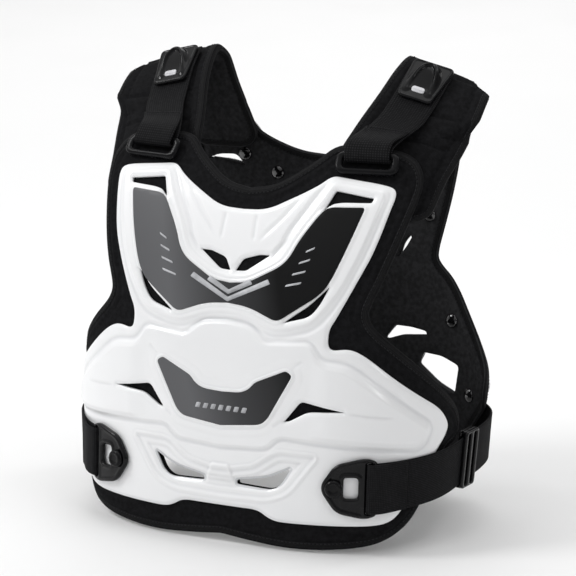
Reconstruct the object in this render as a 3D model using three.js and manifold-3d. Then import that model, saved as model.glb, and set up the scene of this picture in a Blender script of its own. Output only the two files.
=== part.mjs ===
// Roost deflector: a white front shell on a black foam liner, two wide shoulder pads that fold over
// the shoulders, elastic side straps, and a foam back panel with a white back shell.
// Millimetres, +Z up. The wearer faces -Y and the wearer's left side is +X.
// The origin is the middle of the line across the shoulders that the pads sit on.

import * as THREE from 'three';
import { mergeVertices } from 'three/addons/utils/BufferGeometryUtils.js';
import Module from 'manifold-3d';

const wasm = await Module();
wasm.setup();

// Fit between pieces
const seatGap = 0.5;
const shellGap = 0.8;
const flatGap = 0.3;

// Front of the torso: the face between the foam liner and the shell
const frontHalfWidth = 208;
const frontCurveDepth = 130;
const frontReach = 212;
const frontTopDrop = 55;
const frontFormHeight = 410;

// Back of the torso: the face between the back liner and the back shell
const backHalfWidth = 212;
const backCurveDepth = 95;
const backReach = 63;
const backTopDrop = 50;
const backFormHeight = 390;

// Front shell
const shellWall = 2.8;
const shellHalfWidth = 243;
const shellHeight = 338;
const shellTopDrop = 91;
const plateauRise = 1.4;
const decalWall = 0.7;

// Front liner
const linerWall = 8;
const linerHalfWidth = 275;
const linerHeight = 395;
const linerTopDrop = 61;

// Back liner and back shell
const backLinerWall = 8;
const backLinerHalfWidth = 232;
const backLinerHeight = 390;
const backLinerTopDrop = 51;
const backShellWall = 2.6;
const backShellHalfWidth = 215;
const backShellHeight = 362;
const backShellTopDrop = 65;

// Rivets of the back panel
const rivetHeadDiameter = 15;
const rivetHeadHeight = 3.6;
const rivetSeat = 1.4;
const rivetProfile = [
  { out: 0, up: 0 },
  { out: 1, up: 0 },
  { out: 1, up: 0.3 },
  { out: 0.72, up: 0.8 },
  { out: 0, up: 1 },
];

// Shoulder pads
const padThickness = 12;
const padHalfWidth = 54.5;
const padOut = 155;
const padForward = 130;
const padBehind = 33;
const padDrop = 130;
const padCornerRadius = 18;
const padSeat = 2.2;
const padWrap = 178;
const padAcross = [-1, -0.88, -0.3, 0.3, 0.88, 1];
const padEdgeShare = 0.55;
const padRow = 8;

// Shoulder webbing, the rings that hold it and the adjusters on the pads
const webbingWidth = 46;
const webbingWall = 2.6;
const webbingShift = -14;
const webbingRideHeight = 3;
const webbingLiftOff = 1.5;
const ringWidth = 65;
const ringHeight = 24;
const ringWall = 5;
const ringBar = 6;
const ringSlack = 1.5;
const ringRound = 7;
const ringDrop = 80;
const ringOut = 119;
const adjusterLength = 52;
const adjusterLowWidth = 38;
const adjusterHighWidth = 46;
const adjusterBase = 4;
const adjusterDome = 8;
const adjusterPlace = 0.52;
const badgeLength = 13;
const badgeWidth = 9;
const badgeWall = 1.2;

// Side straps, the hook plates and studs that hold them, and the sliders
const strapWidth = 50;
const strapWall = 2.2;
const strapFrontDrop = 389;
const strapSideDrop = 381;
const strapBackDrop = 372;
const strapBackEnd = 150;
const strapLead = 20;
const strapTurn = 6;
const strapStep = 12;
const hookWall = 4;
const hookApex = 105;
const hookOuter = 161;
const hookHeight = 62;
const hookDrop = 389;
const hookSlot = 7;
const hookBar = 5.5;
const studDiameter = 18;
const studHeight = 5;
const studBore = 9;
const studOut = 120;
const studDrop = 389;
const sliderLength = 30;
const sliderHeight = 60;
const sliderWall = 4;
const sliderClearance = 1.1;
const sliderAt = 0.5;
const sliderBar = 0.09;
const sliderRim = 0.34;

// Grids that the bent sheets share, so that stacked sheets keep parallel facets
const frontColumns = [0, 0.2, 0.36, 0.47, 0.56, 0.64, 0.72, 0.81, 0.91, 1];
const backColumns = [0, 0.2, 0.38, 0.5, 0.6, 0.69, 0.77, 0.86, 1];
const gridHalfWidth = 290;
const gridRow = 38;
const roundStep = Math.PI / 3;
const cornerShare = 0.48;

// Each row is a height on the front: its drop, its reach forward, its squareness and its width,
// with lengths as shares of the named sizes above
const frontForm = [
  { down: 0, forward: 0.476, square: 3.6, width: 1 },
  { down: 0.09, forward: 0.613, square: 3.6, width: 1 },
  { down: 0.17, forward: 0.712, square: 3.6, width: 1 },
  { down: 0.31, forward: 0.826, square: 3.4, width: 1 },
  { down: 0.48, forward: 0.913, square: 2.8, width: 1 },
  { down: 0.66, forward: 0.949, square: 2.6, width: 0.995 },
  { down: 0.85, forward: 0.981, square: 2.6, width: 0.97 },
  { down: 1, forward: 1, square: 2.6, width: 0.94 },
];

const backForm = [
  { down: 0, forward: 0.746, square: 3.2, width: 0.98 },
  { down: 0.13, forward: 0.92, square: 3.2, width: 1 },
  { down: 0.28, forward: 1, square: 3.2, width: 1 },
  { down: 0.46, forward: 1, square: 3.2, width: 1 },
  { down: 0.64, forward: 0.92, square: 3.2, width: 1 },
  { down: 0.8, forward: 0.873, square: 3.2, width: 0.98 },
  { down: 1, forward: 0.905, square: 3.2, width: 0.95 },
];

// Outlines run from the middle of the top to the middle of the bottom on the wearer's left half.
// across is a share of the piece's half width, up of its height, and round a corner radius in mm.
const shellEdge = [
  { across: 0, up: 0.893, round: 0 },
  { across: 0.107, up: 0.896, round: 14 },
  { across: 0.296, up: 0.964, round: 30 },
  { across: 0.358, up: 1, round: 7 },
  { across: 0.601, up: 0.982, round: 22 },
  { across: 0.642, up: 0.964, round: 9 },
  { across: 0.597, up: 0.811, round: 40 },
  { across: 0.551, up: 0.734, round: 30 },
  { across: 0.473, up: 0.615, round: 20 },
  { across: 0.444, up: 0.58, round: 10 },
  { across: 0.444, up: 0.535, round: 6 },
  { across: 0.461, up: 0.52, round: 6 },
  { across: 0.535, up: 0.528, round: 14 },
  { across: 0.601, up: 0.506, round: 16 },
  { across: 0.774, up: 0.408, round: 40 },
  { across: 0.942, up: 0.331, round: 14 },
  { across: 1, up: 0.278, round: 10 },
  { across: 0.988, up: 0.249, round: 8 },
  { across: 0.918, up: 0.195, round: 24 },
  { across: 0.79, up: 0.059, round: 16 },
  { across: 0.741, up: 0.015, round: 12 },
  { across: 0.679, up: 0, round: 18 },
  { across: 0.259, up: 0, round: 10 },
  { across: 0.218, up: 0.009, round: 8 },
  { across: 0.173, up: 0.03, round: 10 },
  { across: 0, up: 0.03, round: 0 },
];

const linerEdge = [
  { across: 0, up: 0.885, round: 0 },
  { across: 0.102, up: 0.896, round: 26 },
  { across: 0.222, up: 0.953, round: 26 },
  { across: 0.284, up: 0.992, round: 8 },
  { across: 0.335, up: 1, round: 10 },
  { across: 0.538, up: 0.99, round: 14 },
  { across: 0.611, up: 0.967, round: 18 },
  { across: 0.655, up: 0.919, round: 24 },
  { across: 0.64, up: 0.851, round: 40 },
  { across: 0.571, up: 0.691, round: 40 },
  { across: 0.527, up: 0.62, round: 14 },
  { across: 0.527, up: 0.595, round: 10 },
  { across: 0.556, up: 0.565, round: 16 },
  { across: 0.887, up: 0.382, round: 40 },
  { across: 0.964, up: 0.337, round: 16 },
  { across: 1, up: 0.296, round: 14 },
  { across: 0.996, up: 0.263, round: 8 },
  { across: 0.96, up: 0.243, round: 8 },
  { across: 0.891, up: 0.235, round: 10 },
  { across: 0.789, up: 0.127, round: 30 },
  { across: 0.727, up: 0.063, round: 16 },
  { across: 0.618, up: 0.018, round: 24 },
  { across: 0.465, up: 0.005, round: 30 },
  { across: 0.273, up: 0, round: 30 },
  { across: 0.109, up: 0.01, round: 30 },
  { across: 0, up: 0.018, round: 0 },
];

const backLinerEdge = [
  { across: 0, up: 0.862, round: 0 },
  { across: 0.151, up: 0.867, round: 24 },
  { across: 0.332, up: 0.91, round: 24 },
  { across: 0.375, up: 0.946, round: 20 },
  { across: 0.401, up: 0.985, round: 10 },
  { across: 0.44, up: 1, round: 10 },
  { across: 0.647, up: 0.995, round: 12 },
  { across: 0.698, up: 0.972, round: 14 },
  { across: 0.69, up: 0.926, round: 30 },
  { across: 0.638, up: 0.8, round: 40 },
  { across: 0.547, up: 0.615, round: 16 },
  { across: 0.56, up: 0.59, round: 14 },
  { across: 0.647, up: 0.549, round: 30 },
  { across: 0.759, up: 0.446, round: 40 },
  { across: 0.875, up: 0.364, round: 30 },
  { across: 0.983, up: 0.318, round: 12 },
  { across: 1, up: 0.287, round: 10 },
  { across: 0.974, up: 0.251, round: 12 },
  { across: 0.81, up: 0.174, round: 20 },
  { across: 0.711, up: 0.054, round: 20 },
  { across: 0.603, up: 0.01, round: 20 },
  { across: 0, up: 0, round: 0 },
];

const backShellEdge = [
  { across: 0, up: 0.851, round: 0 },
  { across: 0.186, up: 0.862, round: 24 },
  { across: 0.326, up: 0.9, round: 24 },
  { across: 0.391, up: 0.967, round: 14 },
  { across: 0.447, up: 1, round: 10 },
  { across: 0.688, up: 0.994, round: 12 },
  { across: 0.679, up: 0.959, round: 16 },
  { across: 0.623, up: 0.823, round: 40 },
  { across: 0.526, up: 0.619, round: 14 },
  { across: 0.549, up: 0.575, round: 14 },
  { across: 0.642, up: 0.519, round: 30 },
  { across: 0.758, up: 0.414, round: 30 },
  { across: 0.884, up: 0.326, round: 20 },
  { across: 0.986, up: 0.287, round: 8 },
  { across: 1, up: 0.271, round: 6 },
  { across: 0.967, up: 0.249, round: 8 },
  { across: 0.819, up: 0.171, round: 16 },
  { across: 0.707, up: 0.047, round: 18 },
  { across: 0.614, up: 0.011, round: 16 },
  { across: 0, up: 0, round: 0 },
];

// Decals and raised fields of the shell, half outlines as shares of the shell's half width and height
const upperDecalEdge = [
  { across: 0, up: 0.686, round: 0 },
  { across: 0.082, up: 0.692, round: 8 },
  { across: 0.214, up: 0.743, round: 10 },
  { across: 0.251, up: 0.772, round: 8 },
  { across: 0.28, up: 0.82, round: 14 },
  { across: 0.358, up: 0.905, round: 14 },
  { across: 0.391, up: 0.925, round: 4 },
  { across: 0.531, up: 0.928, round: 3 },
  { across: 0.49, up: 0.82, round: 30 },
  { across: 0.44, up: 0.722, round: 14 },
  { across: 0.403, up: 0.678, round: 12 },
  { across: 0.239, up: 0.596, round: 5 },
  { across: 0.214, up: 0.593, round: 5 },
  { across: 0.099, up: 0.624, round: 12 },
  { across: 0, up: 0.63, round: 0 },
];

const lowerDecalEdge = [
  { across: 0, up: 0.373, round: 0 },
  { across: 0.082, up: 0.376, round: 4 },
  { across: 0.119, up: 0.387, round: 5 },
  { across: 0.148, up: 0.411, round: 4 },
  { across: 0.28, up: 0.454, round: 3 },
  { across: 0.307, up: 0.441, round: 3 },
  { across: 0.206, up: 0.305, round: 5 },
  { across: 0.177, up: 0.287, round: 6 },
  { across: 0, up: 0.272, round: 0 },
];

const yokeEdge = [
  { across: 0, up: 0.71, round: 0 },
  { across: 0.07, up: 0.714, round: 8 },
  { across: 0.187, up: 0.757, round: 10 },
  { across: 0.222, up: 0.786, round: 8 },
  { across: 0.25, up: 0.835, round: 14 },
  { across: 0.33, up: 0.925, round: 14 },
  { across: 0.372, up: 0.98, round: 5 },
  { across: 0.6, up: 0.962, round: 8 },
  { across: 0.548, up: 0.81, round: 30 },
  { across: 0.492, up: 0.712, round: 14 },
  { across: 0.445, up: 0.655, round: 14 },
  { across: 0.372, up: 0.59, round: 12 },
  { across: 0.25, up: 0.567, round: 6 },
  { across: 0.205, up: 0.566, round: 6 },
  { across: 0.09, up: 0.597, round: 12 },
  { across: 0, up: 0.603, round: 0 },
];

const bellyEdge = [
  { across: 0, up: 0.574, round: 0 },
  { across: 0.099, up: 0.571, round: 6 },
  { across: 0.181, up: 0.524, round: 6 },
  { across: 0.37, up: 0.535, round: 6 },
  { across: 0.42, up: 0.485, round: 8 },
  { across: 0.535, up: 0.476, round: 10 },
  { across: 0.893, up: 0.284, round: 10 },
  { across: 0.848, up: 0.225, round: 10 },
  { across: 0.255, up: 0.257, round: 8 },
  { across: 0.2, up: 0.219, round: 6 },
  { across: 0, up: 0.21, round: 0 },
];

// Vents, each a closed outline on the wearer's left half
const shellVents = [
  [
    { across: 0.551, up: 0.943, round: 1 },
    { across: 0.391, up: 0.96, round: 2 },
    { across: 0.358, up: 0.912, round: 1 },
    { across: 0.424, up: 0.938, round: 3 },
  ],
  [
    { across: 0.428, up: 0.694, round: 1 },
    { across: 0.401, up: 0.65, round: 6 },
    { across: 0.362, up: 0.612, round: 8 },
    { across: 0.259, up: 0.592, round: 1 },
    { across: 0.313, up: 0.608, round: 8 },
    { across: 0.362, up: 0.638, round: 8 },
  ],
  [
    { across: 0.152, up: 0.772, round: 1 },
    { across: 0.041, up: 0.753, round: 4 },
    { across: 0.016, up: 0.727, round: 1 },
    { across: 0.053, up: 0.727, round: 4 },
  ],
  [
    { across: 0.523, up: 0.342, round: 1 },
    { across: 0.345, up: 0.366, round: 4 },
    { across: 0.276, up: 0.302, round: 1 },
    { across: 0.297, up: 0.304, round: 2 },
    { across: 0.374, up: 0.336, round: 6 },
  ],
];

const throughVent = [
  { across: 0.31, up: 0.164, round: 1 },
  { across: 0.214, up: 0.13, round: 8 },
  { across: 0.074, up: 0.112, round: 2 },
  { across: 0.074, up: 0.099, round: 2 },
  { across: 0.235, up: 0.094, round: 8 },
  { across: 0.272, up: 0.114, round: 4 },
];

const backVents = [
  [
    { across: 0.616, up: 0.815, round: 0 },
    { across: 0.5, up: 0.841, round: 0 },
    { across: 0.422, up: 0.81, round: 0 },
    { across: 0.5, up: 0.818, round: 0 },
  ],
  [
    { across: 0.431, up: 0.7, round: 0 },
    { across: 0.4, up: 0.7, round: 0 },
    { across: 0.36, up: 0.615, round: 0 },
    { across: 0.39, up: 0.615, round: 0 },
  ],
  [
    { across: 0.62, up: 0.43, round: 0 },
    { across: 0.38, up: 0.395, round: 0 },
    { across: 0.33, up: 0.34, round: 0 },
    { across: 0.42, up: 0.37, round: 0 },
  ],
  [
    { across: 0.69, up: 0.35, round: 0 },
    { across: 0.52, up: 0.3, round: 0 },
    { across: 0.47, up: 0.235, round: 0 },
    { across: 0.6, up: 0.27, round: 0 },
  ],
];

// Outline of a hook plate: across from its apex to its outer bar, up its height
const hookEdge = [
  { across: 0, up: 0.5, round: 10 },
  { across: 0.27, up: 0.88, round: 8 },
  { across: 0.8, up: 1, round: 10 },
  { across: 1, up: 0.93, round: 4 },
  { across: 1, up: 0.05, round: 4 },
  { across: 0.8, up: 0, round: 8 },
  { across: 0.3, up: 0.1, round: 8 },
];

// Rivet places on the back panel, as shares of the back liner's half width and height
const rivetPlaces = [
  { name: 'a', across: 0.422, up: 0.851 },
  { name: 'b', across: 0.259, up: 0.803 },
  { name: 'c', across: 0.513, up: 0.723 },
  { name: 'd', across: 0.651, up: 0.439 },
  { name: 'e', across: 0.79, up: 0.249 },
];

// Middle line of a shoulder pad from the tucked front end, over the shoulder, to the back flap.
// out, half, ahead, behind and up are shares of the pad's named sizes, tilt and yaw are slopes.
const padForm = [
  { out: 0.85, ahead: 1, behind: 0, up: -1, half: 1.02, tilt: 0, yaw: 0.2 },
  { out: 0.87, ahead: 0.76, behind: 0, up: -0.68, half: 1.08, tilt: -0.06, yaw: 0.15 },
  { out: 0.92, ahead: 0.52, behind: 0, up: -0.455, half: 1.06, tilt: -0.13, yaw: 0.08 },
  { out: 0.975, ahead: 0.29, behind: 0, up: -0.24, half: 1, tilt: -0.2, yaw: 0.02 },
  { out: 0.995, ahead: 0.11, behind: 0, up: -0.1, half: 0.95, tilt: -0.26, yaw: -0.02 },
  { out: 1, ahead: 0, behind: 0.15, up: -0.035, half: 0.91, tilt: -0.3, yaw: -0.08 },
  { out: 0.97, ahead: 0, behind: 0.62, up: -0.1, half: 0.88, tilt: -0.28, yaw: -0.12 },
  { out: 0.9, ahead: 0, behind: 0.86, up: -0.28, half: 0.83, tilt: -0.18, yaw: -0.13 },
  { out: 0.81, ahead: 0, behind: 0.95, up: -0.46, half: 0.77, tilt: -0.08, yaw: -0.13 },
  { out: 0.755, ahead: 0, behind: 0.98, up: -0.62, half: 0.73, tilt: 0, yaw: -0.13 },
  { out: 0.735, ahead: 0, behind: 1, up: -0.77, half: 0.7, tilt: 0, yaw: -0.13 },
];

// Materials
const gloss = (color) => new THREE.MeshStandardMaterial({ color, roughness: 0.25, metalness: 0 });
const matte = (color) => new THREE.MeshStandardMaterial({ color, roughness: 0.65, metalness: 0 });
const cloth = (color) => new THREE.MeshStandardMaterial({ color, roughness: 0.95, metalness: 0 });
const whitePlastic = gloss(0xf2f3f4);
const greyDecal = gloss(0x4a4b4e);
const blackFoam = cloth(0x121214);
const blackWebbing = cloth(0x0d0d0e);
const blackPlastic = matte(0x161617);
const whiteBadge = gloss(0xdcdcdc);

const part = new THREE.Group();

function addMesh(name, geometry, material) {
  const mesh = new THREE.Mesh(geometry, material);
  mesh.name = name;
  part.add(mesh);
  return mesh;
}

// A smooth value from a table, by the share of the way down
function tableValue(rows, key, name, at) {
  const last = rows.length - 1;
  const place = Math.min(Math.max(at, rows[0][key]), rows[last][key]);
  let i = 0;
  while (i < last - 1 && rows[i + 1][key] < place) {
    i += 1;
  }
  const slope = (j) => {
    const low = rows[Math.max(j - 1, 0)];
    const high = rows[Math.min(j + 1, last)];
    return (high[name] - low[name]) / (high[key] - low[key]);
  };
  const step = rows[i + 1][key] - rows[i][key];
  const t = (place - rows[i][key]) / step;
  const a = 2 * t ** 3 - 3 * t ** 2 + 1;
  const b = t ** 3 - 2 * t ** 2 + t;
  const c = -2 * t ** 3 + 3 * t ** 2;
  const d = t ** 3 - t ** 2;
  return a * rows[i][name] + b * step * slope(i) + c * rows[i + 1][name] + d * step * slope(i + 1);
}

// One side of the torso as a bent sheet: across runs round the body from the middle, height is Z,
// and lift is measured off the face, away from the wearer
class TorsoSide {
  constructor(form, sizes) {
    this.form = form;
    this.sizes = sizes;
    this.sections = new Map();
  }

  section(height) {
    const key = height.toFixed(3);
    if (this.sections.has(key)) {
      return this.sections.get(key);
    }
    const { halfWidth, depth, reach, topDrop, formHeight, facing } = this.sizes;
    const down = (-topDrop - height) / formHeight;
    const width = halfWidth * tableValue(this.form, 'down', 'width', down);
    const square = tableValue(this.form, 'down', 'square', down);
    const middle = facing * reach * tableValue(this.form, 'down', 'forward', down);
    const points = [];
    const steps = 240;
    let length = 0;
    for (let i = 0; i <= steps; i += 1) {
      const angle = (Math.PI / 2) * (i / steps);
      const x = width * Math.sin(angle) ** (2 / square);
      const y = middle - facing * depth * (1 - Math.cos(angle) ** (2 / square));
      if (i > 0) {
        length += Math.hypot(x - points[i - 1].x, y - points[i - 1].y);
      }
      points.push({ x, y, length });
    }
    this.sections.set(key, points);
    return points;
  }

  face(across, height) {
    const points = this.section(height);
    const side = Math.sign(across);
    const reach = Math.abs(across);
    const last = points.length - 1;
    let low = 0;
    let high = last;
    while (high - low > 1) {
      const middle = (low + high) >> 1;
      if (points[middle].length < reach) {
        low = middle;
      } else {
        high = middle;
      }
    }
    const span = points[high].length - points[low].length;
    const t = (reach - points[low].length) / span;
    const x = points[low].x + t * (points[high].x - points[low].x);
    const y = points[low].y + t * (points[high].y - points[low].y);
    return new THREE.Vector3(side * x, y, height);
  }

  at(across, height, lift) {
    const step = 1;
    const point = this.face(across, height);
    const alongAcross = this.face(across + step, height).sub(this.face(across - step, height));
    const alongHeight = this.face(across, height + step).sub(this.face(across, height - step));
    const normal = alongAcross.cross(alongHeight).normalize();
    const outward = Math.sign(normal.y * this.sizes.facing);
    return point.addScaledVector(normal, outward * lift);
  }

  // Moves a point until it lies on the wearer's side of the face, by at least the clearance
  keepInside(point, clearance, widest) {
    const points = this.section(point.z);
    const reach = Math.abs(point.x);
    const beyond = points.findIndex((sample) => sample.x >= reach);
    const arc = beyond < 0 ? widest : Math.min(points[beyond].length, widest);
    const across = (Math.sign(point.x) || 1) * arc;
    const face = this.at(across, point.z, 0);
    const normal = this.at(across, point.z, 1).sub(face);
    const lift = point.clone().sub(face).dot(normal);
    if (lift > -clearance) {
      point.addScaledVector(normal, -clearance - lift);
    }
    return point;
  }
}

const front = new TorsoSide(frontForm, {
  halfWidth: frontHalfWidth,
  depth: frontCurveDepth,
  reach: frontReach,
  topDrop: frontTopDrop,
  formHeight: frontFormHeight,
  facing: -1,
});

const back = new TorsoSide(backForm, {
  halfWidth: backHalfWidth,
  depth: backCurveDepth,
  reach: backReach,
  topDrop: backTopDrop,
  formHeight: backFormHeight,
  facing: 1,
});

// A shoulder pad as a bent sheet: along runs from the front end, across from the pad's middle line
class PadPath {
  constructor() {
    const points = padForm.map((row) => new THREE.Vector3(
      row.out * padOut,
      row.behind * padBehind - row.ahead * padForward,
      row.up * padDrop,
    ));
    this.curve = new THREE.CatmullRomCurve3(points, false, 'centripetal');
    this.curve.arcLengthDivisions = 400;
    this.length = this.curve.getLength();
    this.rows = padForm.map((row, i) => ({ ...row, place: i / (padForm.length - 1) }));
  }

  value(name, along) {
    const place = this.curve.getUtoTmapping(Math.min(Math.max(along / this.length, 0), 1));
    return tableValue(this.rows, 'place', name, place);
  }

  halfWidth(along) {
    return padHalfWidth * this.value('half', along);
  }

  middle(across, along) {
    const u = Math.min(Math.max(along / this.length, 0), 1);
    const point = this.curve.getPointAt(u);
    const sideways = new THREE.Vector3(1, this.value('yaw', along), this.value('tilt', along));
    point.addScaledVector(this.curve.getTangentAt(u), along - u * this.length);
    point.addScaledVector(sideways.normalize(), across);
    front.keepInside(point, linerWall + padThickness / 2 + padSeat, padWrap);
    return back.keepInside(point, backLinerWall + padThickness / 2 + padSeat, padWrap);
  }

  at(across, along, lift) {
    const step = 2;
    const point = this.middle(across, along);
    const alongAcross = this.middle(across + step, along).sub(this.middle(across - step, along));
    const alongPath = this.middle(across, along + step).sub(this.middle(across, along - step));
    return point.addScaledVector(alongAcross.cross(alongPath).normalize(), lift);
  }
}

const padPath = new PadPath();

// How much height a step up the front's middle gains
function frontRise(across, height) {
  const low = front.at(across, height - 1, 0);
  const high = front.at(across, height + 1, 0);
  return 2 / low.distanceTo(high);
}

// Points of a half outline in flat millimetres, and of its mirror image
function flatPoints(rows, halfWidth, height, topDrop) {
  return rows.map((row) => ({
    x: row.across * halfWidth,
    y: row.up * height - height - topDrop,
    round: row.round,
  }));
}

function mirrored(points) {
  return points.map((point) => ({ ...point, x: -point.x })).reverse();
}

function wholeOutline(half) {
  return [...half, ...mirrored(half.slice(1, -1))];
}

// A corner as points of a curve, one for about every roundStep of its turn
function cornerPoints(before, point, after) {
  const into = new THREE.Vector2(point.x - before.x, point.y - before.y);
  const away = new THREE.Vector2(after.x - point.x, after.y - point.y);
  const turn = Math.abs(Math.atan2(into.cross(away), into.dot(away)));
  const count = point.round > 0 ? Math.round(turn / roundStep) : 0;
  if (count === 0) {
    return [new THREE.Vector2(point.x, point.y)];
  }
  const corner = new THREE.Vector2(point.x, point.y);
  const start = corner.clone().addScaledVector(into, -Math.min(point.round / into.length(), cornerShare));
  const end = corner.clone().addScaledVector(away, Math.min(point.round / away.length(), cornerShare));
  return new THREE.QuadraticBezierCurve(start, corner, end).getPoints(count);
}

function roundedShape(points) {
  const count = points.length;
  return new THREE.Shape(points.flatMap((point, i) => cornerPoints(
    points[(i + count - 1) % count],
    point,
    points[(i + 1) % count],
  )));
}

// Geometry to solid and back. Every triangle keeps its own face number, so a flat grid stays a grid.
function solidOf(source) {
  const geometry = source.clone();
  geometry.deleteAttribute('normal');
  geometry.deleteAttribute('uv');
  const merged = mergeVertices(geometry, 1e-4);
  const triVerts = new Uint32Array(merged.index.array);
  const faceID = Uint32Array.from({ length: triVerts.length / 3 }, (_, i) => i);
  const vertProperties = new Float32Array(merged.attributes.position.array);
  return new wasm.Manifold(new wasm.Mesh({ numProp: 3, vertProperties, triVerts, faceID }));
}

function bentGeometry(solid, place, flip) {
  const mesh = solid.getMesh();
  const positions = new Float32Array(mesh.vertProperties.length);
  for (let i = 0; i < positions.length; i += 3) {
    const [x, y, z] = mesh.vertProperties.slice(i, i + 3);
    place(x, y, z).toArray(positions, i);
  }
  const index = Array.from(mesh.triVerts);
  if (flip) {
    for (let i = 0; i < index.length; i += 3) {
      [index[i], index[i + 1]] = [index[i + 1], index[i]];
    }
  }
  const geometry = new THREE.BufferGeometry();
  geometry.setAttribute('position', new THREE.BufferAttribute(positions, 3));
  geometry.setIndex(index);
  geometry.computeVertexNormals();
  return geometry;
}

function slab(columns, rows, bottom, top) {
  const box = new THREE.BoxGeometry(1, 1, 1, columns.length - 1, rows.length - 1, 1);
  const position = box.attributes.position;
  for (let i = 0; i < position.count; i += 1) {
    const column = Math.round((position.getX(i) + 0.5) * (columns.length - 1));
    const row = Math.round((position.getY(i) + 0.5) * (rows.length - 1));
    position.setXYZ(i, columns[column], rows[row], position.getZ(i) > 0 ? top : bottom);
  }
  return solidOf(box);
}

function prism(points, bottom, top) {
  const settings = { depth: top - bottom, bevelEnabled: false };
  const geometry = new THREE.ExtrudeGeometry(roundedShape(points), settings);
  geometry.translate(0, 0, bottom);
  return solidOf(geometry);
}

function evenSteps(low, high, step) {
  const first = Math.floor(low / step) - 1;
  const count = Math.ceil(high / step) + 1 - first;
  return Array.from({ length: count + 1 }, (_, i) => (first + i) * step);
}

function sheetLayer(columnShares, outline, bottom, top) {
  const reach = Math.max(...outline.map((point) => Math.abs(point.x)));
  const right = columnShares.map((share) => share * gridHalfWidth);
  const used = right.filter((x, i) => i === 0 || right[i - 1] < reach + 1);
  const columns = [...used.slice(1).map((x) => -x).reverse(), ...used];
  const heights = outline.map((point) => point.y);
  const rows = evenSteps(Math.min(...heights), Math.max(...heights), gridRow);
  return slab(columns, rows, bottom, top).intersect(prism(outline, bottom - 1, top + 1));
}

function cutVents(solid, vents, place, bottom, top) {
  let cut = solid;
  vents.forEach((rows) => {
    const points = place(rows);
    cut = cut.subtract(prism(points, bottom - 2, top + 2));
    cut = cut.subtract(prism(mirrored(points), bottom - 2, top + 2));
  });
  return cut;
}

const onShell = (rows) => flatPoints(rows, shellHalfWidth, shellHeight, shellTopDrop);
const onBackLiner = (rows) => flatPoints(rows, backLinerHalfWidth, backLinerHeight, backLinerTopDrop);

// Front shell and its decals
const shellBottom = shellGap;
const shellTop = shellGap + shellWall;
const fieldTop = shellTop + plateauRise;
const decalBottom = fieldTop + flatGap;
const decalTop = decalBottom + decalWall;

function makeFrontShell() {
  const outline = wholeOutline(onShell(shellEdge));
  let shell = sheetLayer(frontColumns, outline, shellBottom, shellTop);
  [yokeEdge, bellyEdge].forEach((edge) => {
    const field = wholeOutline(onShell(edge));
    shell = shell.add(sheetLayer(frontColumns, field, shellTop - shellWall / 3, fieldTop));
  });
  const solid = cutVents(shell, [...shellVents, throughVent], onShell, shellBottom, fieldTop);
  return bentGeometry(solid, (x, y, z) => front.at(x, y, z), false);
}

function makeDecal(edge) {
  const outline = wholeOutline(onShell(edge));
  const solid = sheetLayer(frontColumns, outline, decalBottom, decalTop);
  return bentGeometry(solid, (x, y, z) => front.at(x, y, z), false);
}

function makeFrontLiner() {
  const outline = wholeOutline(flatPoints(linerEdge, linerHalfWidth, linerHeight, linerTopDrop));
  const sheet = sheetLayer(frontColumns, outline, -linerWall, 0);
  const solid = cutVents(sheet, [throughVent], onShell, -linerWall, 0);
  return bentGeometry(solid, (x, y, z) => front.at(x, y, z), false);
}

// Back liner, back shell and rivets
function makeBackSheet(outline, vents, bottom, top) {
  const sheet = sheetLayer(backColumns, outline, bottom, top);
  const solid = cutVents(sheet, vents, onBackLiner, bottom, top);
  return bentGeometry(solid, (x, y, z) => back.at(x, y, z), true);
}

function makeRivet() {
  const radius = rivetHeadDiameter / 2;
  const points = rivetProfile.map(({ out, up }) => new THREE.Vector2(out * radius, up * rivetHeadHeight));
  return new THREE.LatheGeometry(points, 8);
}

// Local frames for the rigid pieces: x runs across, y up or along, z off the face
function frameAt(place, step) {
  const origin = place(0, 0, 0);
  const xAxis = place(step, 0, 0).sub(place(-step, 0, 0)).normalize();
  const toward = place(0, step, 0).sub(place(0, -step, 0));
  const zAxis = xAxis.clone().cross(toward).normalize();
  const yAxis = zAxis.clone().cross(xAxis);
  return new THREE.Matrix4().makeBasis(xAxis, yAxis, zAxis).setPosition(origin);
}

function mirrorImage(geometry) {
  const copy = geometry.index ? geometry.clone() : mergeVertices(geometry);
  const index = Array.from(copy.index.array);
  for (let i = 0; i < index.length; i += 3) {
    [index[i], index[i + 1]] = [index[i + 1], index[i]];
  }
  copy.setIndex(index);
  copy.scale(-1, 1, 1);
  copy.computeVertexNormals();
  return copy;
}

function addPair(name, geometry, material) {
  addMesh(`${name}_left`, geometry, material);
  addMesh(`${name}_right`, mirrorImage(geometry), material);
}

function flatGeometry(solid) {
  return bentGeometry(solid, (x, y, z) => new THREE.Vector3(x, y, z), false);
}

// A block from a profile in the along and lift plane, as wide as the piece
function profileBlock(points, holes, width) {
  const shape = new THREE.Shape(points.map(([along, lift]) => new THREE.Vector2(along, lift)));
  holes.forEach((hole) => {
    shape.holes.push(new THREE.Path(hole.map(([along, lift]) => new THREE.Vector2(along, lift))));
  });
  const geometry = new THREE.ExtrudeGeometry(shape, { depth: width, bevelEnabled: false });
  geometry.translate(0, 0, -width / 2);
  geometry.applyMatrix4(new THREE.Matrix4().makeBasis(
    new THREE.Vector3(0, 1, 0),
    new THREE.Vector3(0, 0, 1),
    new THREE.Vector3(1, 0, 0),
  ));
  return solidOf(geometry);
}

function rectangle(left, right, low, high, round) {
  return [
    { x: left, y: low, round },
    { x: right, y: low, round },
    { x: right, y: high, round },
    { x: left, y: high, round },
  ];
}

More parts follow.
